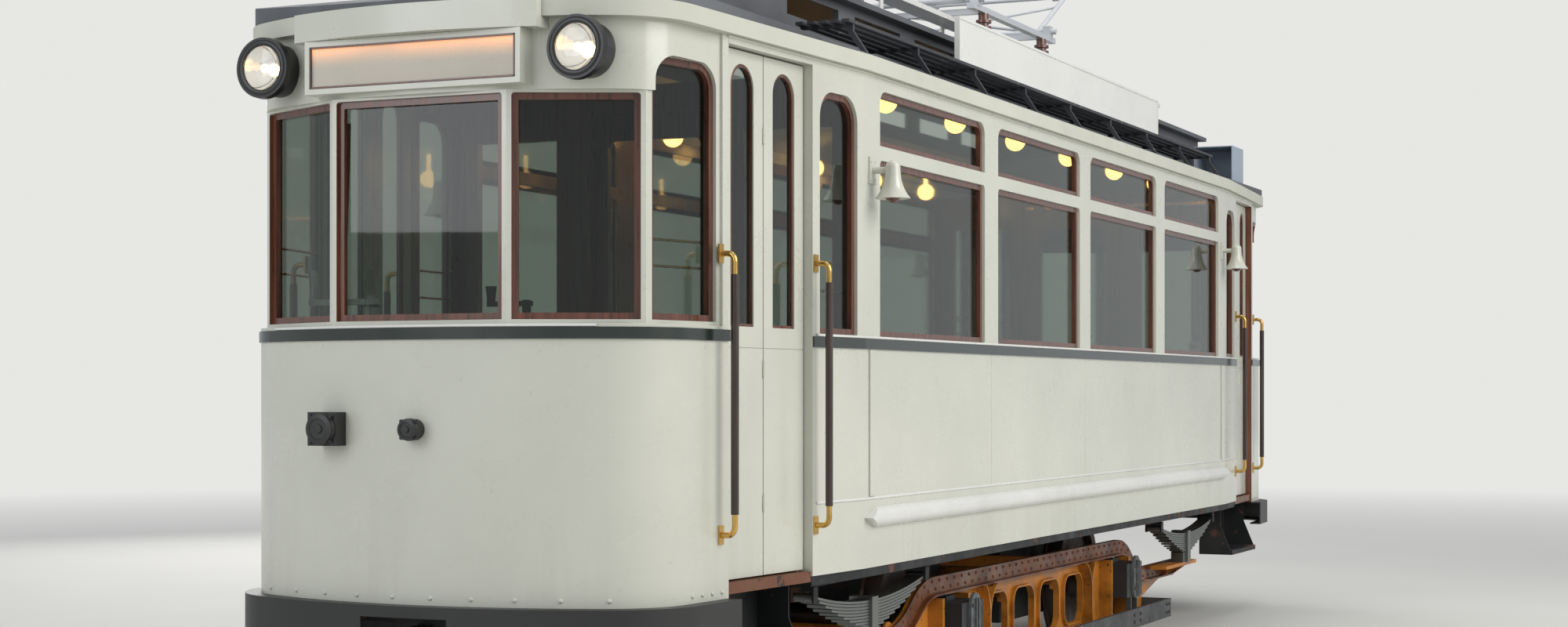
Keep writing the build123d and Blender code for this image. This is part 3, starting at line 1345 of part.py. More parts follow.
rail_bottom = 945
rail_height = 85
rail_depth = 38
rail_half_length = saloon_half_length - 5
rail_point = 110
with BuildPart() as fender_rails:
    for _, side in sides:
        with BuildSketch(Plane.XZ):
            with BuildLine():
                inside = side * (saloon_half_width + seat_gap)
                Line((inside, rail_bottom), (inside, rail_bottom + rail_height))
                ThreePointArc((inside, rail_bottom + rail_height),
                              (inside + side * rail_depth, rail_bottom + rail_height / 2),
                              (inside, rail_bottom))
            make_face()
        extrude(amount=rail_half_length, both=True)
    with BuildSketch(Plane.YZ):
        tip = rail_bottom + rail_height / 2
        with BuildLine():
            Polyline(
                (-rail_half_length, tip), (rail_point - rail_half_length, rail_bottom - 1),
                (rail_half_length - rail_point, rail_bottom - 1), (rail_half_length, tip),
                (rail_half_length - rail_point, rail_bottom + rail_height + 1),
                (rail_point - rail_half_length, rail_bottom + rail_height + 1), (-rail_half_length, tip),
            )
        make_face()
    extrude(amount=saloon_half_width + rail_depth + 10, both=True, mode=Mode.INTERSECT)
fender_rails.part.label = "fender_rails"
export_step(fender_rails.part, "parts/fender_rails.step")

# Saloon benches along both side walls: slatted seats and backs on shaped stands, closed below
bench_half_length = 2850
bench_depth = 430
bench_height = 430
bench_slat = 50
bench_slat_thickness = 18
bench_slat_pitch = 62
seat_slats = 7
back_slats = 4
back_rise = 340
stand_count_bench = 5
stand_thickness = 30
front_panel = 20
bench_back = saloon_half_width - wall - 2
bench_front = bench_back - bench_depth
bench_top = saloon_floor + bench_height
slat_low = bench_top - bench_slat_thickness
stand_span = 2 * (bench_half_length - stand_thickness)
with BuildPart() as benches:
    with BuildSketch(Plane.XZ):
        with BuildLine():
            Polyline(
                (bench_front + 70, saloon_floor), (bench_front + 12, slat_low + 1), (bench_back - 60, slat_low + 1),
                (bench_back - 26, bench_top + back_rise), (bench_back, bench_top + back_rise),
                (bench_back, saloon_floor), close=True,
            )
        make_face()
    extrude(amount=stand_thickness / 2, both=True)
    one_stand = benches.part
    places = [stand_span * (i / (stand_count_bench - 1) - 0.5) for i in range(stand_count_bench)]
    add([one_stand.moved(Location((0, y, 0))) for y in places if y])
    seat_middle = (bench_top + slat_low) / 2
    with Locations([(bench_front + bench_slat / 2 + i * bench_slat_pitch, 0, seat_middle) for i in range(seat_slats)]):
        Box(bench_slat, 2 * bench_half_length, bench_slat_thickness)
    back_pitch = (back_rise - 80) / (back_slats - 1)
    with Locations([(bench_back - 32, 0, bench_top + 60 + i * back_pitch) for i in range(back_slats)]):
        Box(bench_slat_thickness, 2 * bench_half_length, bench_slat)
    with Locations((bench_front + 90, 0, (saloon_floor + slat_low) / 2)):
        Box(front_panel, 2 * bench_half_length, slat_low - saloon_floor)
    mirror(about=Plane.YZ)
benches.part.label = "benches"
export_step(benches.part, "parts/benches.step")

# Driver's controllers on both platforms: a rounded case, a lid, a spindle and a crank with its knob
controller_x, controller_y = 300, 4600
controller_case = (330, 230, 930)
with BuildPart() as controllers:
    for _, end in ends:
        x, y = -end * controller_x, end * controller_y
        with BuildSketch(Plane.XY.offset(platform_floor_top)):
            with Locations((x, y)):
                RectangleRounded(controller_case[0], controller_case[1], 80)
        extrude(amount=controller_case[2])
        lid_z = platform_floor_top + controller_case[2]
        with BuildSketch(Plane.XY.offset(lid_z)):
            with Locations((x, y)):
                RectangleRounded(controller_case[0] + 24, controller_case[1] + 20, 90)
        extrude(amount=28)
        with Locations((x, y, lid_z + 28)):
            Cylinder(60, 22, align=(Align.CENTER, Align.CENTER, Align.MIN))
            Cylinder(16, 80, align=(Align.CENTER, Align.CENTER, Align.MIN))
        with BuildSketch(Plane.XY.offset(lid_z + 86)):
            with Locations((x + end * 70, y)):
                SlotOverall(190, 34)
        extrude(amount=18)
        with Locations((x + end * 148, y, lid_z + 100)):
            Cone(14, 21, 60, align=(Align.CENTER, Align.CENTER, Align.MIN))
controllers.part.label = "controllers"
export_step(controllers.part, "parts/controllers.step")

# Handbrake columns with a crank and an upright grip
handbrake_x, handbrake_y = -420, 4520
crank_z = platform_floor_top + 1035
crank_length = 285
grip_height = 135
with BuildPart() as handbrakes:
    for _, end in ends:
        x, y = -end * handbrake_x, end * handbrake_y
        with BuildSketch(Plane(origin=(x, y, 0), x_dir=(1, 0, 0), z_dir=(0, -1, 0))):
            with BuildLine():
                Polyline(
                    (0, platform_floor_top), (80, platform_floor_top), (80, platform_floor_top + 22),
                    (38, platform_floor_top + 60), (26, platform_floor_top + 120), (24, crank_z - 130),
                    (36, crank_z - 90), (36, crank_z - 12), (20, crank_z), (20, crank_z + 34), (0, crank_z + 34),
                    (0, platform_floor_top),
                )
            make_face()
        revolve(axis=Axis((x, y, 0), (0, 0, 1)))
        with BuildSketch(Plane.XY.offset(crank_z)):
            with Locations((x + end * (crank_length / 2 - 20), y)):
                SlotOverall(crank_length + 40, 40)
        extrude(amount=22)
        grip_x = x + end * (crank_length - 20)
        with Locations((grip_x, y, crank_z)):
            Cylinder(9, grip_height, align=(Align.CENTER, Align.CENTER, Align.MIN))
        with Locations((grip_x, y, crank_z + 30)):
            Cone(14, 20, grip_height - 40, align=(Align.CENTER, Align.CENTER, Align.MIN))
handbrakes.part.label = "handbrakes"
export_step(handbrakes.part, "parts/handbrakes.step")

# Bell-shaped signal lamps on the end posts, on short arms
signal_y = 3000
signal_top = 2456
signal_rim = 2300
signal_arm_z = 2418
signal_out = 95
signal_rim_radius = 74
bell_wall = 4
with BuildPart() as signal_lamps:
    for _, side in sides:
        for _, end in ends:
            face = side * (saloon_half_width + seat_gap)
            middle = (face + side * signal_out, end * signal_y)
            with Locations((face + side * 4, end * signal_y, signal_arm_z)):
                Box(8, 70, 110)
            with Locations((face + side * signal_out / 2, end * signal_y, signal_arm_z)):
                Cylinder(14, signal_out, rotation=(0, 90, 0))
            with BuildSketch(Plane(origin=(middle[0], middle[1], 0), x_dir=(0, 1, 0), z_dir=(1, 0, 0))):
                with BuildLine():
                    ThreePointArc((0, signal_top), (20, signal_top - 5), (30, signal_top - 22))
                    Line((30, signal_top - 22), (33, signal_top - 68))
                    ThreePointArc((33, signal_top - 68), (46, signal_top - 112), (signal_rim_radius, signal_rim))
                    Line((signal_rim_radius, signal_rim), (signal_rim_radius - bell_wall, signal_rim - 2))
                    ThreePointArc((signal_rim_radius - bell_wall, signal_rim - 2),
                                  (46 - bell_wall, signal_top - 116), (28, signal_top - 76))
                    Line((28, signal_top - 76), (0, signal_top - 76))
                    Line((0, signal_top - 76), (0, signal_top))
                make_face()
            revolve(axis=Axis((middle[0], middle[1], 0), (0, 0, 1)))
signal_lamps.part.label = "signal_lamps"
export_step(signal_lamps.part, "parts/signal_lamps.step")

# Cable sockets on the dashes
socket_z = 1370
with BuildPart() as dash_sockets:
    for _, end in ends:
        for x, radius, plate in ((-355, 55, 100), (20, 38, 0)):
            face_y = end * (dash_front_y + 4)
            with Locations((x * -end, face_y, socket_z)):
                if plate:
                    Box(plate + 22, 70, plate + 22)
                Cylinder(radius, 110, rotation=(90, 0, 0))
    with BuildSketch(Plane.XY.offset(dash_bottom)):
        add(body_plan(seat_gap))
    extrude(amount=dash_top - dash_bottom, mode=Mode.SUBTRACT)
dash_sockets.part.label = "dash_sockets"
export_step(dash_sockets.part, "parts/dash_sockets.step")

# Round ceiling lamps of the saloon on stems from the roof skin
lamp_count = 6
ceiling_lamp_x = 760
ceiling_lamp_z = 2800
lamp_globe_radius = 52
lamp_stem_radius = 12
lamp_pitch = 900
stem_top = roof_height(ceiling_lamp_x + lamp_stem_radius) - roof_skin - seat_gap
with BuildPart() as ceiling_lamps:
    for _, side in sides:
        for i in range(lamp_count):
            y = lamp_pitch * (i - (lamp_count - 1) / 2)
            with Locations((side * ceiling_lamp_x, y, ceiling_lamp_z)):
                Cylinder(lamp_stem_radius, stem_top - ceiling_lamp_z, align=(Align.CENTER, Align.CENTER, Align.MIN))
                Sphere(lamp_globe_radius)
ceiling_lamps.part.label = "ceiling_lamps"
export_step(ceiling_lamps.part, "parts/ceiling_lamps.step")

# Sliding doors of the saloon bulkheads, hung on a rail above the doorway
slide_half = 312
slide_gap = 6
slide_thickness = 28
slide_travel = 570
hanger_rail_z = 2725
slide_y = bulkhead_y - bulkhead_thickness / 2 - slide_gap - slide_thickness / 2
hanger_y = bulkhead_y - bulkhead_thickness / 2 - 60
hanger_foot = hanger_rail_z - 45
lip_top = hanger_rail_z + 16
hanger_top = lip_top + 12
with BuildPart() as slide_rails:
    for _, end in ends:
        with Locations((slide_travel / 2, end * (bulkhead_y - bulkhead_thickness / 2 - 24), hanger_rail_z)):
            Box(2 * slide_half + slide_travel + 20, 48, 10)
        with Locations((slide_travel / 2, end * (bulkhead_y - bulkhead_thickness / 2 - 44), hanger_rail_z + 8)):
            Box(2 * slide_half + slide_travel + 20, 8, 16)
slide_rails.part.label = "slide_rails"
export_step(slide_rails.part, "parts/slide_rails.step")

for end_name, end in ends:
    with BuildPart() as slide_door:
        low, high = saloon_floor + 5, hanger_rail_z - 11
        with BuildSketch(Plane.XZ.offset(-end * slide_y)):
            with Locations((0, (low + high) / 2)):
                Rectangle(2 * slide_half, high - low)
            with Locations((0, 2160)):
                RectangleRounded(2 * slide_half - 180, 860, 30, mode=Mode.SUBTRACT)
        extrude(amount=slide_thickness / 2, both=True)
        for x in (-slide_half + 80, slide_half - 80):
            with Locations((x, end * hanger_y, (hanger_foot + hanger_top) / 2)):
                Box(60, 10, hanger_top - hanger_foot)
            with Locations((x, end * (hanger_y + 11), (lip_top + seat_gap + hanger_top) / 2)):
                Box(60, 32, hanger_top - lip_top - seat_gap)
            with Locations((x, end * (hanger_y + 11), hanger_foot + 15)):
                Box(60, 32, 30)
    slide_door.part.label = f"slide_door_{end_name}"
    export_step(slide_door.part, f"parts/slide_door_{end_name}.step")

# Pantograph: base frame on insulators, two lower frames, two upper frames and the collector head
shaft_y = 600
shaft_z = 3520
lower_arm = 900
upper_arm = 1300
head_half_y = 200
rest_angle = radians(22)
shaft_radius = 16
shaft_half = 650
bearing_x = 600
bearing_play = 0.05
knee_x = 440
knee_half = 468
knee_radius = 12
arm_radius = 14
arm_foot_x = bearing_x - 60
brace_radius = 8
brace_share = 0.7
upper_radius = 11
upper_knee_x = 380
upper_head_x = 290
head_shaft_radius = 10
head_shaft_half = 320
head_pin_room = 5
knee_y = shaft_y + lower_arm * cos(rest_angle)
knee_z = shaft_z + lower_arm * sin(rest_angle)
upper_angle = acos((knee_y - head_half_y) / upper_arm)
head_z = knee_z + upper_arm * sin(upper_angle)
base_rail = (40, 30)
insulator_radius = 42
with BuildPart() as pantograph_base:
    for _, side in sides:
        with Locations((side * bearing_x, 0, shaft_z - 42)):
            Box(base_rail[0], 2 * shaft_y + 160, base_rail[1])
        for _, end in ends:
            with Locations((side * bearing_x, end * shaft_y, shaft_z - 4)):
                Box(44, 56, 66)
            with Locations((side * bearing_x, end * shaft_y, shaft_z)):
                Cylinder(shaft_radius + bearing_play, 60, rotation=(0, 90, 0), mode=Mode.SUBTRACT)
            foot = clerestory_height(bearing_x + insulator_radius) - 20
            with Locations((side * bearing_x, end * (shaft_y - 120), (foot + shaft_z - 56) / 2)):
                Cylinder(insulator_radius - 14, shaft_z - 56 - foot)
            for i in range(4):
                with Locations((side * bearing_x, end * (shaft_y - 120), clerestory_eaves + 85 + i * 32)):
                    Cylinder(insulator_radius, 14)
    for _, end in ends:
        with Locations((0, end * (shaft_y - 120), shaft_z - 42)):
            Box(2 * bearing_x, base_rail[0], base_rail[1])
    add(clerestory.part.moved(Location((0, 0, seat_gap))), mode=Mode.SUBTRACT)
pantograph_base.part.label = "pantograph_base"
export_step(pantograph_base.part, "parts/pantograph_base.step")


def tube(start, finish, radius):
    """Round bar between two points, added to the part being built."""
    run = Vector(*finish) - Vector(*start)
    with BuildSketch(Plane(origin=start, z_dir=run)) as section:
        Circle(radius)
    extrude(section.sketch, amount=run.length)


for end_name, end in ends:
    with BuildPart() as lower_frame:
        with Locations((0, end * shaft_y, shaft_z)):
            Cylinder(shaft_radius, 2 * shaft_half, rotation=(0, 90, 0))
        with Locations((0, end * knee_y, knee_z)):
            Cylinder(knee_radius, 2 * knee_half, rotation=(0, 90, 0))
        for _, side in sides:
            tube((side * arm_foot_x, end * shaft_y, shaft_z), (side * knee_x, end * knee_y, knee_z), arm_radius)
            brace_x = arm_foot_x + (knee_x - arm_foot_x) * brace_share
            brace_y = shaft_y + (knee_y - shaft_y) * brace_share
            brace_z = shaft_z + (knee_z - shaft_z) * brace_share
            tube((-side * arm_foot_x, end * shaft_y, shaft_z), (side * brace_x, end * brace_y, brace_z), brace_radius)
    lower_frame.part.label = f"pantograph_lower_{end_name}"
    export_step(lower_frame.part, f"parts/pantograph_lower_{end_name}.step")

    with BuildPart() as upper_frame:
        head_bore = head_shaft_radius + (bearing_play if end < 0 else head_pin_room)
        for _, side in sides:
            tube((side * upper_knee_x, end * knee_y, knee_z), (side * upper_head_x, end * head_half_y, head_z),
                 upper_radius)
            with Locations((side * upper_knee_x, end * knee_y, knee_z)):
                Cylinder(23, 34, rotation=(0, 90, 0))
                Cylinder(knee_radius + bearing_play, 40, rotation=(0, 90, 0), mode=Mode.SUBTRACT)
            with Locations((side * upper_head_x, end * head_half_y, head_z)):
                Cylinder(24, 26, rotation=(0, 90, 0))
                Cylinder(head_bore, 40, rotation=(0, 90, 0), mode=Mode.SUBTRACT)
        near = 0.12
        spread = upper_knee_x + (upper_head_x - upper_knee_x) * near
        y = end * (knee_y + (head_half_y - knee_y) * near)
        z = knee_z + (head_z - knee_z) * near
        tube((-spread, y, z), (spread, y, z), 9)
        far = 0.9
        y_far = end * (knee_y + (head_half_y - knee_y) * far)
        z_far = knee_z + (head_z - knee_z) * far
        spread_far = upper_knee_x + (upper_head_x - upper_knee_x) * far
        tube((-spread_far, y_far, z_far), (spread_far, y_far, z_far), 9)
        tube((-spread, y, z), (spread_far, y_far, z_far), 7)
    upper_frame.part.label = f"pantograph_upper_{end_name}"
    export_step(upper_frame.part, f"parts/pantograph_upper_{end_name}.step")

strip_half = 520
horn_drop = 170
horn_out = 760
with BuildPart() as pantograph_head:
    for _, end in ends:
        with Locations((0, end * head_half_y, head_z)):
            Cylinder(head_shaft_radius, 2 * head_shaft_half, rotation=(0, 90, 0))
        with Locations((0, end * head_half_y, head_z + 92)):
            Box(2 * strip_half, 46, 24)
        for _, side in sides:
            with Locations((side * (head_shaft_half - 8), end * head_half_y, head_z + 38)):
                Box(12, 30, 96)
            with BuildLine() as horn:
                FilletPolyline(
                    (side * (strip_half - 20), end * head_half_y, head_z + 88),
                    (side * (strip_half + 130), end * head_half_y, head_z + 84),
                    (side * horn_out, end * head_half_y, head_z - horn_drop + 60),
                    radius=120,
                )
            with BuildSketch(Plane(origin=(side * (strip_half - 20), end * head_half_y, head_z + 88),
                                   z_dir=(side, 0, -4 / 150))):
                Circle(11)
            sweep(path=horn.line)
    for _, side in sides:
        with Locations((side * (head_shaft_half - 8), 0, head_z + 70)):
            Box(12, 2 * head_half_y, 24)
pantograph_head.part.label = "pantograph_head"
export_step(pantograph_head.part, "parts/pantograph_head.step")
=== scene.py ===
from math import atan, cos, pi, radians, sin, sqrt

import bmesh
import bpy
from bpy.props import FloatProperty, FloatVectorProperty, IntProperty, PointerProperty
from mathutils import Matrix, Vector


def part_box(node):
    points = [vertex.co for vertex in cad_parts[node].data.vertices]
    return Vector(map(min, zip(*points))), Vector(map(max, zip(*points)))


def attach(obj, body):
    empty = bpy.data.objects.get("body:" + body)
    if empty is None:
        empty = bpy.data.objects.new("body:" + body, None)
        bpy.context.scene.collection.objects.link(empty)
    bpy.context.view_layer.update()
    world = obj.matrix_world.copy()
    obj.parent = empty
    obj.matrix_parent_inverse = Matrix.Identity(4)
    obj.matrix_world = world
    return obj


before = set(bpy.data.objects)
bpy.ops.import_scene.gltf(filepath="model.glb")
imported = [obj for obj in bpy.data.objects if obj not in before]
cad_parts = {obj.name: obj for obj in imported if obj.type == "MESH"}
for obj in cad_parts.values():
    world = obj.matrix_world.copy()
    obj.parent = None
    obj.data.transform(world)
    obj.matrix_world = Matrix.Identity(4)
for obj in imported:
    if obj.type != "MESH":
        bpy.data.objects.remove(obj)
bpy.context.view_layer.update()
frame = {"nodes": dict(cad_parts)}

bl_info = {
    "name": "Two-axle tram finish",
    "version": (1, 0, 0),
    "blender": (4, 5, 0),
    "location": "View3D > Sidebar > Tram",
    "description": "Paint, glass, lamps, rivets and fittings for a two-axle electric tram",
    "category": "Object",
}

sides = (1, -1)
ends = (-1, 1)

# Driving dimensions of the body and the axles, in metres, as the frame has them
half_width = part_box("side_wall_left")[1][0]
saloon_half_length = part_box("fender_rails")[1][1] + 0.005
platform_taper = 0.0748
dash_front_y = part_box("rear_dash")[1][1]
dash_front_radius = 1.75
dash_bottom, dash_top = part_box("rear_dash")[0][2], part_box("rear_dash")[1][2]
door_inner, door_outer = 3.53, 4.19
narrow_window = (3.14, 3.47)
window_pitch = 1.5
post_y = 3.0
axle_y = 1.4

# Heights on the body: belt, top of the side panels, bead over the fender rails, drip bead, cornice
belt_line = 1.735
panel_top = belt_line - 0.055
rail_bead_height = 1.066
drip_height = 2.816
cornice_top = 2.8865

# The truck frame's chord: top edge, height of the spring seat, where its fall starts and ends, and its depth
truck_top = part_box("truck_frame")[1][2]
truck_seat = truck_top - 0.196
truck_arch, truck_fall = 1.54, 2.15
truck_chord = 0.09
truck_face = 0.729

# Where one finish gives way to another, as distances across the car from its middle
truck_plate = (0.7155, 0.76)
axle_cover_x = 0.8725
wheel_tread = (0.43, 0.535)

# Width of the painted floorboards
floor_board_width = 0.1

# The folding doors: leaf windows and how far the middle of a leaf stands in from the body side
leaf_window = (1.75, 2.735)
leaf_window_width = 0.176
leaf_inset = 0.0575

# Border of the sign in a destination box
sign_border = 0.026

# The stage: colour behind the car, and where the floor starts to fade into it and ends
backdrop_colour = (0.80, 0.80, 0.78)
floor_fade = (9.0, 26.0)


# The platform side of the body leans in beyond the saloon, and the dash is an arc in plan

def side_x(y, out=0.0):
    """Distance of the body side from the middle at y along the car."""
    return half_width - platform_taper * max(0.0, abs(y) - saloon_half_length) + out


def dash_y(x, out=0.0):
    """Distance of the bowed dash from the middle of the car at x across it."""
    radius = dash_front_radius + out
    return dash_front_y - dash_front_radius + sqrt(radius * radius - x * x)


def side_normal(side, y):
    """Outward direction of the body side at y."""
    if abs(y) <= saloon_half_length:
        return Vector((side, 0, 0))
    lean = atan(platform_taper)
    return Vector((side * cos(lean), (1 if y > 0 else -1) * sin(lean), 0))


def dash_normal(x, end):
    """Outward direction of the dash at x."""
    return Vector((x, end * sqrt(dash_front_radius**2 - x * x), 0)).normalized()


def door_leaf(node):
    """Whether a node is a leaf of a folding door."""
    return node.startswith("door_") and node.endswith("leaf")


# Settings that a user would change

class TramColours(bpy.types.PropertyGroup):
    """Colours of the car's paints and woods."""

    cream: FloatVectorProperty(name="Cream", description="Enamel of the body panels", subtype="COLOR",
                               size=3, min=0, max=1, default=(0.555, 0.56, 0.485))
    white: FloatVectorProperty(name="White", description="Enamel of the rails, sills and route boards",
                               subtype="COLOR", size=3, min=0, max=1, default=(0.67, 0.67, 0.64))
    dark_green: FloatVectorProperty(name="Dark green", description="Enamel of the belt strips",
                                    subtype="COLOR", size=3, min=0, max=1, default=(0.012, 0.02, 0.015))
    black: FloatVectorProperty(name="Black", description="Paint of the bumpers, steps and underframe",
                               subtype="COLOR", size=3, min=0, max=1, default=(0.008, 0.009, 0.010))
    ochre: FloatVectorProperty(name="Ochre", description="Paint of the truck frames", subtype="COLOR",
                               size=3, min=0, max=1, default=(0.44, 0.16, 0.016))
    red_brown: FloatVectorProperty(name="Red brown", description="Primer of the truck chords and door sills",
                                   subtype="COLOR", size=3, min=0, max=1, default=(0.13, 0.042, 0.014))
    roof_grey: FloatVectorProperty(name="Roof grey", description="Paint of the roof", subtype="COLOR",
                                   size=3, min=0, max=1, default=(0.085, 0.09, 0.1))
    mahogany: FloatVectorProperty(name="Mahogany", description="Varnished window frames and partitions",
                                  subtype="COLOR", size=3, min=0, max=1, default=(0.105, 0.034, 0.018))


class TramSizes(bpy.types.PropertyGroup):
    """Sizes of the small fittings."""

    bolt_radius: FloatProperty(name="Bolt radius", description="Radius of the dash bolts' heads",
                               unit="LENGTH", default=0.009, min=0.002)
    bolt_spacing: FloatProperty(name="Bolt spacing", description="Distance between the dash bolts",
                                unit="LENGTH", default=0.165, min=0.02)
    rivet_radius: FloatProperty(name="Rivet radius", description="Radius of the truck's rivet heads",
                                unit="LENGTH", default=0.0085, min=0.002)
    rivet_spacing: FloatProperty(name="Rivet spacing", description="Distance between rivets in one row",
                                 unit="LENGTH", default=0.105, min=0.02)
    bead_radius: FloatProperty(name="Bead radius", description="Radius of the half-round beads on the panels",
                               unit="LENGTH", default=0.006, min=0.001)
    guard_bar_radius: FloatProperty(name="Guard bar radius", description="Radius of the brass window bars",
                                    unit="LENGTH", default=0.005, min=0.001)
    guard_bolts: IntProperty(name="Guard bolts", description="Bolts in each row on the guard frame's corners",
                             default=2, min=1)


def colours():
    """The scene's colour settings."""
    return bpy.context.scene.tram_colours


def sizes():
    """The scene's size settings."""
    return bpy.context.scene.tram_sizes


# Short ways to build nodes and materials

def add_node(tree, kind, inputs=(), **settings):
    """Adds a node, sets its properties, and links or sets its inputs by name or number."""
    made = tree.nodes.new(kind)
    for key, value in settings.items():
        setattr(made, key, value)
    for key, value in dict(inputs).items():
        if isinstance(value, bpy.types.NodeSocket):
            tree.links.new(value, made.inputs[key])
        else:
            made.inputs[key].default_value = value
    return made


class Finish:
    """A material with one principled shader, whose patterns all read the object's own coordinates."""

    def __init__(self, name, colour, roughness, metallic=0.0):
        self.material = bpy.data.materials.new(name)
        self.material.use_nodes = True
        self.tree = self.material.node_tree
        self.shader = self.tree.nodes["Principled BSDF"]
        self.put({"Base Color": (*colour, 1), "Roughness": roughness, "Metallic": metallic})
        self.place = self.node("ShaderNodeTexCoord").outputs["Object"]

    def node(self, kind, inputs=(), **settings):
        """Adds a node to the material."""
        return add_node(self.tree, kind, inputs, **settings)

    def put(self, values):
        """Sets some of the shader's inputs."""
        for name, value in values.items():
            self.shader.inputs[name].default_value = value

    def feed(self, name, socket):
        """Links a pattern to one of the shader's inputs."""
        self.tree.links.new(socket, self.shader.inputs[name])

    def noise(self, scale, detail, stretch=None, roughness=0.55):
        """Cloudy pattern from 0 to 1."""
        vector = self.place
        if stretch:
            vector = self.node("ShaderNodeMapping", {"Vector": vector, "Scale": stretch}).outputs["Vector"]
        inputs = {"Vector": vector, "Scale": scale, "Detail": detail, "Roughness": roughness}
        return self.node("ShaderNodeTexNoise", inputs).outputs["Fac"]

    def spread(self, value, low, high, to_low=0.0, to_high=1.0):
        """Value moved from one range to another and held inside it."""
        inputs = {"Value": value, "From Min": low, "From Max": high, "To Min": to_low, "To Max": to_high}
        return self.node("ShaderNodeMapRange", inputs).outputs["Result"]

    def maths(self, operation, a, b=0.0):
        """Result of one sum on two values."""
        return self.node("ShaderNodeMath", {0: a, 1: b}, operation=operation).outputs[0]

    def times(self, a, b):
        """Product of two values."""
        return self.maths("MULTIPLY", a, b)

    def mix(self, factor, first, second):
        """Colour between two colours."""
        inputs = {0: factor}
        for index, value in ((6, first), (7, second)):
            inputs[index] = value if isinstance(value, bpy.types.NodeSocket) else (*value, 1)
        return self.node("ShaderNodeMix", inputs, data_type="RGBA").outputs[2]

    def cover(self, mask, colour):
        """Lays a colour over the present one where a mask says."""
        present = self.shader.inputs["Base Color"].links[0].from_socket
        self.feed("Base Color", self.mix(mask, present, colour))

    def axis(self, index):
        """One coordinate of the object: 0 for X, 1 for Y, 2 for Z."""
        return self.node("ShaderNodeSeparateXYZ", {0: self.place}).outputs[index]

    def size(self, index):
        """One coordinate of the object without its sign."""
        return self.maths("ABSOLUTE", self.axis(index))

    def normal(self, index):
        """One coordinate of the direction that a face looks in."""
        direction = self.node("ShaderNodeNewGeometry").outputs["True Normal"]
        return self.node("ShaderNodeSeparateXYZ", {0: direction}).outputs[index]

    def bump(self, height, distance, strength):
        """Lets a pattern raise the surface by a distance in metres."""
        inputs = {"Height": height, "Distance": distance, "Strength": strength}
        last = self.shader.inputs["Normal"]
        if last.is_linked:
            inputs["Normal"] = last.links[0].from_socket
        self.feed("Normal", self.node("ShaderNodeBump", inputs).outputs["Normal"])


def once(make):
    """Keeps one copy of each material."""
    def kept():
        name = make.__name__
        if name not in bpy.data.materials:
            make(name)
        return bpy.data.materials[name]
    return kept


def shade(colour, factor):
    """A colour made darker or lighter by a factor."""
    return tuple(min(1.0, channel * factor) for channel in colour)


def enamel(name, colour, roughness=0.28, grime=0.35, grime_colour=(0.16, 0.13, 0.09)):
    """Brushed gloss enamel with faint clouding, brush marks and grime that gathers low down."""
    paint = Finish(name, colour, roughness)
    clouds = paint.spread(paint.noise(1.6, 5), 0.3, 0.7)
    tone = paint.mix(clouds, shade(colour, 0.93), shade(colour, 1.03))
    streaks = paint.spread(paint.noise(2.5, 6, (1, 1, 0.12), 0.7), 0.5, 0.8)
    low_down = paint.times(paint.spread(paint.axis(2), 1.25, 0.7), grime)
    spots = paint.times(paint.spread(paint.noise(28, 3), 0.68, 0.8), 0.5 * grime)
    dirt = paint.maths("MAXIMUM", paint.times(streaks, low_down), spots)
    paint.feed("Base Color", paint.mix(dirt, tone, grime_colour))
    paint.feed("Roughness", paint.spread(paint.noise(5, 4), 0.3, 0.75, roughness * 0.8, roughness * 1.5))
    paint.bump(paint.noise(3.2, 2), 0.0025, 0.5)
    paint.bump(paint.noise(60, 3, (1, 1, 0.35)), 0.0004, 0.5)
    paint.put({"Coat Weight": 0.35, "Coat Roughness": 0.12})
    return paint


def chipped(name, colour, under, amount, roughness, dusty=0.2):
    """Dark paint that has chipped down to primer and rust in places."""
    paint = Finish(name, colour, roughness)
    patches = paint.noise(7, 8, None, 0.68)
    chips = paint.spread(patches, 0.66 - 0.1 * amount, 0.68 - 0.1 * amount)
    dust = paint.spread(paint.noise(2.2, 6), 0.45, 0.8, 0.0, dusty)
    paint.feed("Base Color", paint.mix(chips, paint.mix(dust, colour, (0.16, 0.15, 0.13)), under))
    paint.feed("Roughness", paint.spread(patches, 0.3, 0.7, roughness * 0.7, 0.75))
    paint.bump(chips, -0.0006, 0.7)
    paint.bump(paint.noise(35, 5), 0.0008, 0.4)
    paint.put({"Specular IOR Level": 0.35})
    return paint


def grained(name, colour, roughness, along=2, coat=0.5):
    """Varnished wood whose grain runs along one axis."""
    wood = Finish(name, colour, roughness)
    stretch = [14.0, 14.0, 14.0]
    stretch[along] = 0.7
    grain = wood.noise(3.5, 8, tuple(stretch), 0.62)
    bands = wood.spread(grain, 0.32, 0.68)
    wood.feed("Base Color", wood.mix(bands, shade(colour, 0.5), shade(colour, 1.55)))
    wood.feed("Roughness", wood.spread(grain, 0.3, 0.7, roughness * 0.8, roughness * 1.4))
    wood.bump(grain, 0.0006, 0.5)
    wood.put({"Coat Weight": coat, "Coat Roughness": 0.15})
    return wood


def bare_metal(name, colour, roughness, wear, stain=(0.08, 0.05, 0.03)):
    """Metal with stains and fine scratches."""
    metal = Finish(name, colour, roughness, 1.0)
    stains = metal.spread(metal.noise(14, 6), 0.45, 0.8, 0.0, wear)
    metal.feed("Base Color", metal.mix(stains, colour, stain))
    scratches = metal.noise(40, 4, (1, 1, 0.2))
    metal.feed("Roughness", metal.spread(scratches, 0.3, 0.7, roughness * 0.7, roughness * 1.5))
    metal.bump(metal.noise(90, 3), 0.0003, 0.4)
    return metal


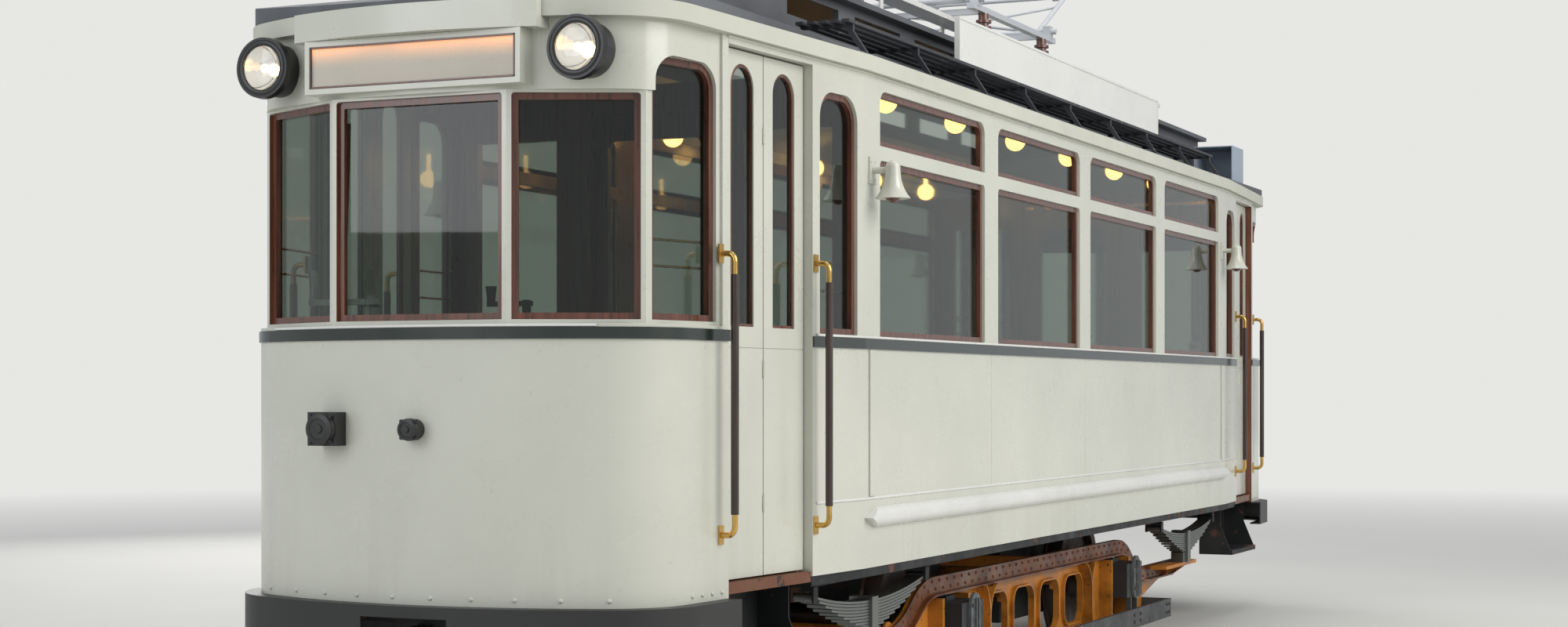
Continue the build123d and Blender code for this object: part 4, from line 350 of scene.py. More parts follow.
def sooty(name):
    """Matt grey roof paint under streaks of soot."""
    paint = Finish(name, colours().roof_grey, 0.6)
    soot = paint.spread(paint.noise(3.5, 8, (1, 0.35, 1)), 0.3, 0.75)
    dark, pale = shade(colours().roof_grey, 0.6), shade(colours().roof_grey, 1.7)
    paint.feed("Base Color", paint.mix(soot, dark, pale))
    paint.feed("Roughness", paint.spread(soot, 0.0, 1.0, 0.45, 0.8))
    paint.bump(paint.noise(9, 6), 0.002, 0.5)
    return paint


def inner_faces(paint):
    """Two masks, 1 on faces that look into the car across it and along it, and 0 on those that look out."""
    masks = []
    for index in (0, 1):
        inward = paint.times(paint.normal(index), paint.maths("SIGN", paint.axis(index)))
        masks.append(paint.maths("LESS_THAN", inward, -0.6))
    return masks


def varnish(paint, mask):
    """Lays varnished wood over the paint where a mask says."""
    grain = paint.spread(paint.noise(3.5, 8, (14, 14, 0.7), 0.62), 0.32, 0.68)
    paint.cover(mask, paint.mix(grain, shade(colours().mahogany, 0.7), shade(colours().mahogany, 1.8)))


@once
def cream_enamel(name):
    """Cream outside, varnished wood inside."""
    paint = enamel(name, colours().cream)
    deep = paint.maths("LESS_THAN", paint.size(0), half_width - 0.02)
    varnish(paint, paint.times(inner_faces(paint)[0], deep))


@once
def cream_plain(name):
    """Cream on every face, for doors and roof trim."""
    enamel(name, colours().cream, grime=0.3)


@once
def header_enamel(name):
    """Cream end panels, varnished on the platform side."""
    paint = enamel(name, colours().cream)
    varnish(paint, paint.maths("MAXIMUM", *inner_faces(paint)))


@once
def ceiling_and_cornice(name):
    """Dark grey roof skin, cream cornice band and ceiling."""
    paint = sooty(name)
    cream = paint.mix(paint.noise(4, 5), shade(colours().cream, 0.82), shade(colours().cream, 1.0))
    above = paint.maths("GREATER_THAN", paint.axis(2), cornice_top)
    upward = paint.maths("GREATER_THAN", paint.normal(2), -0.1)
    paint.cover(paint.maths("SUBTRACT", 1.0, paint.times(above, upward)), cream)


@once
def white_enamel(name):
    """White rails, sills and boards, scuffed in places."""
    paint = enamel(name, colours().white, 0.3, 0.5)
    paint.bump(paint.noise(14, 4, (1, 0.3, 1)), 0.0012, 0.4)


@once
def dark_green_enamel(name):
    """Glossy green-black belt strips."""
    paint = enamel(name, colours().dark_green, 0.2, 0.2, (0.05, 0.05, 0.045))
    paint.put({"Coat Weight": 0.6})


@once
def black_paint(name):
    """Black paint of the bumpers, chipped along its edges."""
    chipped(name, colours().black, (0.09, 0.035, 0.025), 0.35, 0.3, 0.03)


@once
def underframe_black(name):
    """Dusty black of the underframe and steps with rust coming through."""
    chipped(name, shade(colours().black, 1.3), (0.1, 0.045, 0.03), 0.8, 0.55)


@once
def sill_red(name):
    """Red-brown threshold under the doors."""
    paint = chipped(name, colours().red_brown, (0.03, 0.02, 0.015), 0.5, 0.5)
    paint.put({"Coat Weight": 0.2})


@once
def roof_grey_paint(name):
    """Sooty grey of the upper roof."""
    sooty(name)


@once
def rack_grey_paint(name):
    """Dark grey paint of the roof racks, flaking to pale wood."""
    chipped(name, (0.035, 0.038, 0.045), (0.2, 0.19, 0.17), 0.3, 0.6)


@once
def blue_grey_paint(name):
    """Blue-grey paint of the roof box."""
    chipped(name, (0.1, 0.13, 0.18), (0.05, 0.05, 0.06), 0.4, 0.5)


@once
def truck_paint(name):
    """Oily ochre truck frame with a red-brown riveted chord along its top edge."""
    colour, chord = colours().ochre, colours().red_brown
    paint = Finish(name, colour, 0.35)
    fall = paint.node("ShaderNodeMapRange", {
        "Value": paint.size(1), "From Min": truck_arch, "From Max": truck_fall,
        "To Min": truck_top - truck_chord, "To Max": truck_seat - truck_chord},
        interpolation_type="SMOOTHSTEP").outputs["Result"]
    on_chord = paint.maths("GREATER_THAN", paint.axis(2), paint.maths("ADD", fall, -0.008))
    out = paint.size(0)
    plate = paint.times(paint.maths("GREATER_THAN", out, truck_plate[0]),
                        paint.maths("LESS_THAN", out, truck_plate[1]))
    oil = paint.spread(paint.noise(4, 8, None, 0.65), 0.42, 0.72)
    ochre = paint.mix(oil, shade(colour, 1.1), shade(colour, 0.22))
    brown = paint.mix(paint.spread(paint.noise(9, 6), 0.35, 0.7), shade(chord, 1.5), shade(chord, 0.5))
    specks = paint.spread(paint.noise(45, 4), 0.66, 0.7)
    paint.feed("Base Color", paint.mix(paint.times(plate, on_chord), ochre, brown))
    paint.cover(specks, (0.03, 0.018, 0.012))
    paint.feed("Roughness", paint.spread(oil, 0.0, 1.0, 0.5, 0.22))
    paint.bump(paint.noise(22, 6), 0.0015, 0.6)


@once
def chord_brown(name):
    """Red-brown primer of the chord's rivet heads."""
    chipped(name, shade(colours().red_brown, 1.4), shade(colours().red_brown, 0.45), 0.4, 0.45)


def cast_iron(name):
    """Rough cast iron under black paint and oil."""
    return chipped(name, (0.022, 0.024, 0.026), (0.07, 0.04, 0.03), 0.5, 0.42)


@once
def cast_black(name):
    """Cast iron of the motors and the brake gear."""
    cast_iron(name)


@once
def axle_box_paint(name):
    """Black axle boxes with scuffed grey covers."""
    paint = cast_iron(name)
    scuffs = paint.spread(paint.noise(16, 6), 0.35, 0.7)
    grey = paint.mix(scuffs, (0.13, 0.14, 0.145), (0.05, 0.052, 0.052))
    paint.cover(paint.maths("GREATER_THAN", paint.size(0), axle_cover_x), grey)


@once
def wheel_steel(name):
    """Oily rust-brown wheels with a bright rolling edge."""
    metal = Finish(name, (0.06, 0.045, 0.035), 0.5, 0.6)
    rust = metal.spread(metal.noise(12, 8), 0.35, 0.7)
    metal.feed("Base Color", metal.mix(rust, (0.035, 0.03, 0.028), (0.11, 0.055, 0.03)))
    metal.cover(metal.times(metal.spread(metal.size(0), *wheel_tread), 0.25), (0.32, 0.31, 0.3))
    metal.feed("Roughness", metal.spread(rust, 0.0, 1.0, 0.3, 0.65))
    metal.bump(metal.noise(50, 5), 0.0008, 0.5)


@once
def spring_steel(name):
    """Grey-green spring leaves, oily and dusty."""
    metal = Finish(name, (0.04, 0.045, 0.04), 0.45, 0.5)
    dust = metal.spread(metal.noise(9, 7, (1, 0.2, 1)), 0.4, 0.8)
    metal.feed("Base Color", metal.mix(dust, (0.014, 0.018, 0.016), (0.075, 0.085, 0.075)))
    metal.feed("Roughness", metal.spread(dust, 0.0, 1.0, 0.3, 0.6))
    metal.bump(metal.noise(40, 4, (1, 0.2, 1)), 0.0005, 0.5)


@once
def guard_grey(name):
    """Dark grey paint of the low guard frame, stained and scraped."""
    chipped(name, (0.05, 0.053, 0.056), (0.04, 0.028, 0.024), 0.5, 0.5)


def tube_grey(name, colour=(0.52, 0.54, 0.57)):
    """Grey tube paint with a little grime."""
    return enamel(name, colour, 0.35, 0.2, (0.06, 0.06, 0.06))


@once
def pantograph_grey(name):
    """Light grey pantograph arms."""
    paint = tube_grey(name)
    paint.bump(paint.noise(30, 4), 0.0005, 0.4)


@once
def collector_paint(name):
    """Grey collector head with dull carbon along the top of its strips."""
    paint = tube_grey(name)
    carbon = paint.mix(paint.noise(40, 4, (0.2, 1, 1)), (0.02, 0.02, 0.022), (0.055, 0.055, 0.058))
    strip_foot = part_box("pantograph_head")[1][2] - 0.012
    paint.cover(paint.maths("GREATER_THAN", paint.axis(2), strip_foot), carbon)


@once
def pantograph_base_paint(name):
    """Grey base frame on brown glazed insulators."""
    paint = tube_grey(name, (0.42, 0.44, 0.47))
    glaze = paint.mix(paint.noise(6, 4), (0.07, 0.018, 0.009), (0.15, 0.045, 0.02))
    insulator_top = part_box("pantograph_base")[1][2] - 0.087
    paint.cover(paint.maths("LESS_THAN", paint.axis(2), insulator_top), glaze)
    paint.put({"Coat Weight": 0.6})


@once
def handled_brass(name):
    """Brass, bright where hands rub it."""
    bare_metal(name, (0.68, 0.43, 0.13), 0.24, 0.45, (0.14, 0.08, 0.02))


@once
def polished_steel(name):
    """Bright steel of the handbrake crank."""
    bare_metal(name, (0.5, 0.51, 0.52), 0.28, 0.25)


@once
def chrome(name):
    """Bright lamp reflector with a painted glow that stands in for its bulb's light."""
    metal = bare_metal(name, (0.9, 0.89, 0.86), 0.09, 0.05)
    # Painted light: a faint warm emission in clouds stands in for the bulb's light on the reflector.
    metal.put({"Emission Color": (1.0, 0.74, 0.5, 1)})
    metal.feed("Emission Strength", metal.spread(metal.noise(24, 3), 0.35, 0.65, 0.02, 0.12))


@once
def bolt_steel(name):
    """Greased bolts of the running gear."""
    bare_metal(name, (0.16, 0.15, 0.14), 0.4, 0.5)


@once
def handrail_wood(name):
    """Nearly black turned wood of the door handrails."""
    grained(name, (0.03, 0.014, 0.01), 0.3)


@once
def mahogany_frames(name):
    """Varnished brown window frames."""
    grained(name, colours().mahogany, 0.28)


@once
def bench_wood(name):
    """Honey-coloured bench slats."""
    grained(name, (0.32, 0.15, 0.05), 0.32, 1)


@once
def floor_boards(name):
    """Worn floorboards with dark gaps along the car."""
    wood = grained(name, (0.15, 0.11, 0.075), 0.6, 1, 0.0)
    board = wood.maths("FRACT", wood.times(wood.axis(0), 1 / floor_board_width))
    gap = wood.maths("LESS_THAN", board, 0.035)
    wood.cover(gap, (0.02, 0.015, 0.01))
    wood.bump(gap, -0.003, 0.8)


@once
def lamp_rubber(name):
    """Black rubber round the headlamps."""
    rubber = Finish(name, (0.012, 0.012, 0.013), 0.35)
    rubber.bump(rubber.noise(60, 3), 0.0004, 0.4)


@once
def sign_paper(name):
    """Blank sign roll behind the destination glass, with painted light from a lamp above it."""
    paper = Finish(name, (0.42, 0.37, 0.3), 0.6)
    paper.feed("Base Color", paper.mix(paper.noise(3, 5), (0.33, 0.29, 0.23), (0.46, 0.41, 0.34)))
    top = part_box("destination_boxes")[1][2] - sign_border
    # Painted light: the sign glows brightest just under its top and in pools along it, standing in for a lamp
    # above it.
    lamp = paper.spread(paper.axis(2), top - 0.075, top - 0.005)
    painted_light_pools = paper.spread(paper.noise(2.2, 2, (1, 0.1, 0.1)), 0.3, 0.7, 0.4, 1.0)
    paper.put({"Emission Color": (1.0, 0.34, 0.06, 1)})
    paper.feed("Emission Strength", paper.times(paper.maths("POWER", lamp, 1.6), painted_light_pools))
    paper.bump(paper.noise(8, 3, (1, 1, 4)), 0.001, 0.4)


def glassy(name, tint):
    """Clear glass that lets the lamps through to what stands behind it."""
    glass = Finish(name, tint, 0.02)
    glass.put({"Transmission Weight": 1.0, "IOR": 1.45})
    clear = glass.node("ShaderNodeBsdfTransparent", {"Color": (*tint, 1)})
    shadow = glass.node("ShaderNodeLightPath").outputs["Is Shadow Ray"]
    blend = glass.node("ShaderNodeMixShader", {0: shadow, 1: glass.shader.outputs[0], 2: clear.outputs[0]})
    glass.tree.links.new(blend.outputs[0], glass.tree.nodes["Material Output"].inputs["Surface"])
    return glass


@once
def window_glass(name):
    """Slightly green window glass with a faint waviness."""
    glass = glassy(name, (0.33, 0.38, 0.34))
    glass.put({"Specular IOR Level": 0.3})
    glass.bump(glass.noise(2.0, 2), 0.0006, 0.3)


@once
def lens_glass(name):
    """Clear glass of the headlamps and destination boxes."""
    glassy(name, (0.97, 0.97, 0.95))


def glowing(name, colour, strength, tint):
    """Lamp glass that glows."""
    lamp = Finish(name, tint, 0.25)
    lamp.put({"Emission Color": (*colour, 1), "Emission Strength": strength})
    lamp.feed("Base Color", lamp.mix(lamp.noise(30, 3), tint, shade(tint, 0.8)))


@once
def warm_bulb(name):
    """Lit filament bulb of the headlamps."""
    glowing(name, (1.0, 0.58, 0.22), 7.0, (0.9, 0.7, 0.4))


@once
def dark_red_bulb(name):
    """Unlit dark red bulb of the signal lamps."""
    red = Finish(name, (0.08, 0.008, 0.006), 0.12)
    red.feed("Base Color", red.mix(red.noise(20, 3), (0.06, 0.006, 0.005), (0.12, 0.015, 0.01)))
    red.put({"Coat Weight": 0.8})


@once
def milky_glass(name):
    """Lit milk-glass globes of the ceiling."""
    glowing(name, (1.0, 0.5, 0.15), 9.0, (0.95, 0.8, 0.55))


# Short ways to build meshes

def finished(name, mesh, material, body, smooth=True):
    """Makes an object from a mesh, gives it its finish, and lets it ride on a body."""
    piece = bpy.data.objects.new(name, mesh)
    bpy.context.scene.collection.objects.link(piece)
    mesh.materials.clear()
    mesh.materials.append(material)
    for face in mesh.polygons:
        face.use_smooth = smooth
        face.material_index = 0
    if smooth:
        mesh.set_sharp_from_angle(angle=radians(40))
    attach(piece, body)
    return piece


def mesh_of(shape):
    """Turns a bmesh into a mesh."""
    mesh = bpy.data.meshes.new("part")
    shape.to_mesh(mesh)
    shape.free()
    return mesh


def joined(meshes):
    """One mesh from several."""
    shape = bmesh.new()
    for mesh in meshes:
        shape.from_mesh(mesh)
        bpy.data.meshes.remove(mesh)
    return mesh_of(shape)


def turned(profile, origin, axis, segments):
    """Mesh of a profile of (radius, distance) points turned about an axis through an origin.

    A profile that ends where it starts makes a closed ring. Any other is capped at both ends.
    """
    closed = profile[0] == profile[-1]
    shape = bmesh.new()
    turn = Vector((0, 0, 1)).rotation_difference(Vector(axis)).to_matrix().to_4x4()
    rings = []
    for radius, height in profile[:-1] if closed else profile:
        angles = [2 * pi * i / segments for i in range(segments if radius > 1e-6 else 1)]
        points = [(radius * cos(angle), radius * sin(angle), height) for angle in angles]
        rings.append([shape.verts.new(point) for point in points])
    for low, high in zip(rings, rings[1:] + rings[:1] if closed else rings[1:]):
        for i in range(segments):
            corners = [row[k % len(row)] for row, k in ((low, i), (low, i + 1), (high, i + 1), (high, i))]
            unique = list(dict.fromkeys(corners))
            if len(unique) > 2:
                shape.faces.new(unique)
    for row in () if closed else (rings[0], rings[-1]):
        if len(row) > 2:
            shape.faces.new(row)
    bmesh.ops.recalc_face_normals(shape, faces=shape.faces)
    shape.transform(Matrix.Translation(Vector(origin)) @ turn)
    return mesh_of(shape)


def slab(corner, opposite, bevel=0.002):
    """Mesh of a box with rounded edges between two opposite corners."""
    low, high = (Vector([pick(pair) for pair in zip(corner, opposite)]) for pick in (min, max))
    shape = bmesh.new()
    bmesh.ops.create_cube(shape, size=1.0)
    place = Matrix.Translation((high + low) / 2) @ Matrix.Diagonal((*(high - low), 1))
    bmesh.ops.transform(shape, matrix=place, verts=shape.verts)
    if bevel:
        bmesh.ops.bevel(shape, geom=shape.edges[:], offset=bevel, segments=2, affect="EDGES")
    return mesh_of(shape)


def layered(layers, place, across, out, hollow):
    """Mesh through (outline, depth) layers of (along, up) points, capped unless it is hollow."""
    shape = bmesh.new()
    across, out, up = across.normalized(), out.normalized(), Vector((0, 0, 1))
    rows = [[shape.verts.new(place + across * a + up * z + out * depth) for a, z in outline]
            for outline, depth in layers]
    if not hollow:
        shape.faces.new(rows[0])
        shape.faces.new(rows[-1])
    for near, far in zip(rows, rows[1:] + rows[:1] if hollow else rows[1:]):
        for i in range(len(near)):
            k = (i + 1) % len(near)
            shape.faces.new([near[i], near[k], far[k], far[i]])
    bmesh.ops.recalc_face_normals(shape, faces=shape.faces)
    return mesh_of(shape)


def pane(outline, place, across, out, thickness):
    """Flat pane inside an outline."""
    half = thickness / 2
    return layered(((outline, -half), (outline, half)), place, across, out, False)


def ring(outer, inner, place, across, out, thickness):
    """Flat frame between two outlines that have as many points each."""
    half = thickness / 2
    layers = ((outer, -half), (outer, half), (inner, half), (inner, -half))
    return layered(layers, place, across, out, True)


def round_topped(half, low, high):
    """Outline of an opening with a square foot and a round head."""
    steps = 12
    turns = [pi * i / steps for i in range(steps + 1)]
    foot = [(-half, low), (half, low)]
    return foot + [(half * cos(turn), high - half + half * sin(turn)) for turn in turns]


def spaced(start, finish, spacing):
    """Evenly spaced numbers from start to finish, about a spacing apart."""
    count = max(1, round((finish - start) / spacing))
    return [start + (finish - start) * i / count for i in range(count + 1)]


# Geometry Nodes trees, each built once

def tree_of(name, sockets, build):
    """Geometry tree with named inputs that makes what a function builds real and gives it its finish."""
    if name in bpy.data.node_groups:
        return bpy.data.node_groups[name]
    tree = bpy.data.node_groups.new(name, "GeometryNodeTree")
    tree.interface.new_socket("Geometry", in_out="INPUT", socket_type="NodeSocketGeometry")
    for label, kind, value in sockets:
        tree.interface.new_socket(label, in_out="INPUT", socket_type=kind).default_value = value
    tree.interface.new_socket("Finish", in_out="INPUT", socket_type="NodeSocketMaterial")
    tree.interface.new_socket("Geometry", in_out="OUTPUT", socket_type="NodeSocketGeometry")
    given, result = tree.nodes.new("NodeGroupInput").outputs, tree.nodes.new("NodeGroupOutput")
    real = add_node(tree, "GeometryNodeRealizeInstances", {"Geometry": build(tree, given)})
    painted = add_node(tree, "GeometryNodeSetMaterial", {
        "Geometry": real.outputs["Geometry"], "Material": given["Finish"]})
    tree.links.new(painted.outputs["Geometry"], result.inputs["Geometry"])
    return tree


def build_heads(tree, given):
    """Domed or hexagonal heads on points, each standing along the point's own direction."""
    ball = add_node(tree, "GeometryNodeMeshUVSphere", {"Segments": given["Sides"], "Rings": 6, "Radius": 1.0})
    nut = add_node(tree, "GeometryNodeMeshCylinder", {
        "Vertices": given["Sides"], "Radius": 1.0, "Depth": 2.0})
    shape = add_node(tree, "GeometryNodeSwitch", {
        "Switch": given["Dome"], "False": nut.outputs["Mesh"], "True": ball.outputs["Mesh"]},
        input_type="GEOMETRY")
    scale = add_node(tree, "ShaderNodeCombineXYZ", {
        0: given["Radius"], 1: given["Radius"], 2: given["Height"]})
    outward = add_node(tree, "GeometryNodeInputNamedAttribute", {"Name": "outward"}, data_type="FLOAT_VECTOR")
    turn = add_node(tree, "FunctionNodeAlignRotationToVector", {
        "Vector": outward.outputs["Attribute"]}, axis="Z")
    copies = add_node(tree, "GeometryNodeInstanceOnPoints", {
        "Points": given["Geometry"], "Instance": shape.outputs["Output"],
        "Rotation": turn.outputs["Rotation"], "Scale": scale.outputs["Vector"]})
    return copies.outputs["Instances"]


def build_rods(tree, given):
    """Round rods along every line of a curve."""
    circle = add_node(tree, "GeometryNodeCurvePrimitiveCircle", {
        "Resolution": given["Sides"], "Radius": given["Radius"]})
    rods = add_node(tree, "GeometryNodeCurveToMesh", {
        "Curve": given["Geometry"], "Profile Curve": circle.outputs["Curve"], "Fill Caps": True})
    return rods.outputs["Mesh"]


def grown(base, tree, values):
    """Mesh that a geometry tree makes from a base object, with the tree's inputs set by name."""
    bpy.context.scene.collection.objects.link(base)
    modifier = base.modifiers.new("tree", "NODES")
    modifier.node_group = tree
    for item in tree.interface.items_tree:
        if item.in_out == "INPUT" and item.name in values:
            modifier[item.identifier] = values[item.name]
    evaluated = base.evaluated_get(bpy.context.evaluated_depsgraph_get())
    mesh = bpy.data.meshes.new_from_object(evaluated)
    bpy.data.objects.remove(base)
    return mesh


def heads(name, places, radius, height, material, body, dome=True, faces=10):
    """Fastener heads at (point, outward direction) places."""
    mesh = bpy.data.meshes.new("places")
    mesh.from_pydata([tuple(point) for point, _ in places], [], [])
    outward = mesh.attributes.new("outward", "FLOAT_VECTOR", "POINT")
    outward.data.foreach_set("vector", [value for _, normal in places for value in normal])
    tree = tree_of("fastener heads", (
        ("Radius", "NodeSocketFloat", 0.009), ("Height", "NodeSocketFloat", 0.006),
        ("Sides", "NodeSocketInt", 10), ("Dome", "NodeSocketBool", True)), build_heads)
    values = {"Radius": radius, "Height": height, "Sides": faces, "Dome": dome, "Finish": material}
    made = grown(bpy.data.objects.new("places", mesh), tree, values)
    return finished(name, made, material, body, smooth=dome)


def rods(name, lines, radius, material, body, slot, faces=12):
    """Round rods along lines of points."""
    curve = bpy.data.curves.new("lines", "CURVE")
    curve.dimensions = "3D"
    for line in lines:
        spline = curve.splines.new("POLY")
        spline.points.add(len(line) - 1)
        for point, place in zip(spline.points, line):
            point.co = (*place, 1)
    tree = tree_of("rods along lines", (
        ("Radius", "NodeSocketFloat", 0.005), ("Sides", "NodeSocketInt", 12)), build_rods)
    values = {"Radius": radius, "Sides": faces, "Finish": material}
    made = grown(bpy.data.objects.new("lines", curve), tree, values)
    return finished(name, made, material, body)


def aimed(scene, name, data, place, direction):
    """Puts a lamp or camera at a place and turns it to look in a direction."""
    holder = bpy.data.objects.new(name, data)
    holder.location = place
    holder.rotation_euler = Vector(direction).to_track_quat("-Z", "Y").to_euler()
    scene.collection.objects.link(holder)
    return holder


# The pieces, one operator for each group

class TRAM_OT_paint(bpy.types.Operator):
    """Give every piece of the frame its finish"""

    bl_idname = "tram.paint"
    bl_label = "Paint the car"

    def execute(self, context):
        nodes = frame["nodes"]
        arms = [node for node in nodes if node.startswith(("pantograph_lower", "pantograph_upper"))]
        finishes = {
            cream_enamel: ("side_wall_left", "side_wall_right"),
            header_enamel: ("front_dash", "rear_dash", "front_vestibule", "rear_vestibule"),
            cream_plain: ("hoods", "signal_lamps", "destination_boxes", *filter(door_leaf, nodes)),
            ceiling_and_cornice: ("roof_deck",),
            white_enamel: ("fender_rails", "route_boards", "roof_walkway"),
            dark_green_enamel: ("belt_strips",),
            black_paint: ("bumpers", "dash_sockets", "controllers"),
            underframe_black: ("couplers", "step_wells", "underframe"),
            sill_red: ("door_sills",),
            roof_grey_paint: ("clerestory",),
            rack_grey_paint: ("roof_racks",),
            blue_grey_paint: ("roof_box",),
            truck_paint: ("truck_frame",),
            wheel_steel: ("wheelset_front", "wheelset_rear"),
            cast_black: ("motors", "brake_gear"),
            axle_box_paint: ("axle_boxes",),
            spring_steel: ("leaf_springs",),
            guard_grey: ("guard_frame",),
            pantograph_grey: arms,
            pantograph_base_paint: ("pantograph_base",),
            collector_paint: ("pantograph_head",),
            handled_brass: ("handrail_brackets", "slide_rails"),
            polished_steel: ("handbrakes",),
            handrail_wood: ("handrail_rods",),
            mahogany_frames: ("bulkheads", "window_frames", "slide_door_front", "slide_door_rear"),
            bench_wood: ("benches",),
            floor_boards: ("floor",),
            lamp_rubber: ("headlamps",),
            window_glass: ("glazing",),
            milky_glass: ("ceiling_lamps",),
        }
        finish_of = {node: finish for finish, painted in finishes.items() for node in painted}
        for node, piece in nodes.items():
            if not piece.material_slots:
                piece.data.materials.append(None)
            for place in piece.material_slots:
                place.material = finish_of[node]()
        return {"FINISHED"}


class TRAM_OT_dash_bolts(bpy.types.Operator):
    """Set the bolts along the bottoms of the dashes and round their corners"""

    bl_idname = "tram.dash_bolts"
    bl_label = "Dash bolts"

    def execute(self, context):
        height, reach = dash_bottom + 0.026, 0.72
        places = []
        for end in ends:
            for x in spaced(-reach, reach, sizes().bolt_spacing):
                places.append(((x, end * dash_y(x), height), dash_normal(x, end)))
            for side in sides:
                for y in spaced(door_outer + 0.05, door_outer + 0.26, 0.07):
                    places.append(((side * side_x(y), end * y, height), side_normal(side, end * y)))
        heads("dash_bolts", places, sizes().bolt_radius, 0.006, cream_plain(), "root")
        return {"FINISHED"}


# Headlamp profiles, each point as (radius, distance out from the lamp's face)
reflector_profile = ((0.0, -0.044), (0.02, -0.043), (0.045, -0.036), (0.066, -0.024), (0.079, -0.01),
                     (0.083, -0.006), (0.083, -0.009), (0.078, -0.014), (0.064, -0.028), (0.04, -0.041),
                     (0.0, -0.047))
bulb_profile = ((0.0, -0.046), (0.010, -0.045), (0.011, -0.034), (0.015, -0.027), (0.016, -0.020),
                (0.012, -0.012), (0.006, -0.008), (0.0, -0.007))
lens_profile = ((0.083, -0.006), (0.078, -0.001), (0.062, 0.003), (0.036, 0.006), (0.0, 0.007), (0.0, 0.005),
                (0.036, 0.004), (0.062, 0.001), (0.078, -0.003), (0.083, -0.006))
rim_profile = ((0.081, -0.008), (0.082, 0.001), (0.088, 0.004), (0.098, 0.004), (0.106, -0.002),
               (0.108, -0.010), (0.081, -0.008))


class TRAM_OT_headlamps(bpy.types.Operator):
    """Fit reflectors, bulbs, lenses and rubber rims in the headlamps"""

    bl_idname = "tram.headlamps"
    bl_label = "Headlamps"

    def execute(self, context):
        low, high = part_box("headlamps")
        radius = (high[2] - low[2]) / 2
        x, z = high[0] - radius, (low[2] + high[2]) / 2
        # Each piece: name, profile, faces round it, material, slot
        for name, profile, segments, material, slot in (
                ("lamp_reflectors", reflector_profile, 40, chrome(), "steel"),
                ("lamp_bulbs", bulb_profile, 20, warm_bulb(), "lamp_glass"),
                ("lamp_lenses", lens_profile, 40, lens_glass(), "glass"),
                ("lamp_rims", rim_profile, 40, lamp_rubber(), "black_rubber")):
            meshes = [turned(profile, (side * x, end * high[1], z), (0, end, 0), segments)
                      for end in ends for side in sides]
            finished(name, joined(meshes), material, "root")
        return {"FINISHED"}


class TRAM_OT_truck_rivets(bpy.types.Operator):
    """Set two staggered rows of rivets along each truck chord"""

    bl_idname = "tram.truck_rivets"
    bl_label = "Truck rivets"

    def execute(self, context):
        top, seat, arch, fall = truck_top, truck_seat, truck_arch, truck_fall
        run, drop = fall - arch, top - seat
        angle = 2 * atan(drop / run)
        radius = run / (2 * sin(angle))
        arc = radius * angle

        def chord(distance, depth):
            """Point below the chord's top edge at a distance along it from the middle."""
            if distance < arch:
                return distance, top - depth
            if distance < arch + arc:
                turn = (distance - arch) / radius
                return arch + (radius - depth) * sin(turn), top - radius + (radius - depth) * cos(turn)
            if distance < arch + 2 * arc:
                turn = (arch + 2 * arc - distance) / radius
                return fall - (radius + depth) * sin(turn), seat + radius - (radius + depth) * cos(turn)
            return fall + distance - arch - 2 * arc, seat - depth

        length = arch + 2 * arc + 0.6
        spacing = sizes().rivet_spacing
        places = []
        for row, depth in enumerate((0.02, 0.058)):
            start = spacing * (0.25 + 0.5 * row)
            for distance in spaced(start, length - spacing + start, spacing):
                y, z = chord(distance, depth)
                places += [((side * truck_face, end * y, z), (side, 0, 0)) for side in sides for end in ends]
        heads("truck_rivets", places, sizes().rivet_radius, 0.007, chord_brown(), "root")
        return {"FINISHED"}


class TRAM_OT_guard_bars(bpy.types.Operator):
    """Fit brass guard bars behind the platform side windows and the narrow windows"""

    bl_idname = "tram.guard_bars"
    bl_label = "Window guard bars"

    def execute(self, context):
        narrow_heights, platform_heights = (1.91, 2.025), (1.955, 2.05)
        platform_window = ((0.765, 4.62), (0.845, 4.27))
        inset = 0.062
        lines = []
        for end in ends:
            for side in sides:
                for z in narrow_heights:
                    lines.append([(side * (side_x(y) - inset), end * y, z) for y in narrow_window])
                for z in platform_heights:
                    lines.append([(side * x, end * y, z) for x, y in platform_window])
        rods("guard_bars", lines, sizes().guard_bar_radius, handled_brass(), "root", "brass")
        return {"FINISHED"}


class TRAM_OT_panel_beads(bpy.types.Operator):
    """Lay the beads over the fender rails, belt and cornice, and the joint strips between side panels"""

    bl_idname = "tram.panel_beads"
    bl_label = "Panel beads"

    def execute(self, context):
        radius = sizes().bead_radius
        bead_ys = (-door_inner + 0.03, -saloon_half_length, saloon_half_length, door_inner - 0.03)
        drip_ys = (-door_outer - 0.01, -saloon_half_length, saloon_half_length, door_outer + 0.01)
        white, drips, joints, strips = [], [], [], []
        for side in sides:
            white.append([(side * side_x(y), y, rail_bead_height) for y in bead_ys])
            white.append([(side * side_x(y, 0.003), y, belt_line - 0.006) for y in bead_ys])
            drips.append([(side * side_x(y, 0.002), y, drip_height) for y in drip_ys])
            for y in (-window_pitch, 0.0, window_pitch):
                joints.append([(side * half_width, y, z) for z in (rail_bead_height + 0.004, panel_top)])
            for end in ends:
                y = end * post_y
                strips.append(slab((side * half_width, y - 0.028, rail_bead_height + 0.008),
                                   (side * (half_width + 0.006), y + 0.028, panel_top - 0.001), 0.0025))
        for end in ends:
            white.append([(x, end * dash_y(x, 0.003), dash_top - 0.006) for x in spaced(-0.68, 0.68, 0.08)])
        rods("side_beads", white, radius, white_enamel(), "root", "white_paint")
        rods("drip_beads", drips, radius, cream_plain(), "root", "cream_paint")
        rods("panel_joints", joints, radius * 0.35, cream_plain(), "root", "cream_paint", 8)
        finished("post_strips", joined(strips), cream_plain(), "root", False)
        return {"FINISHED"}


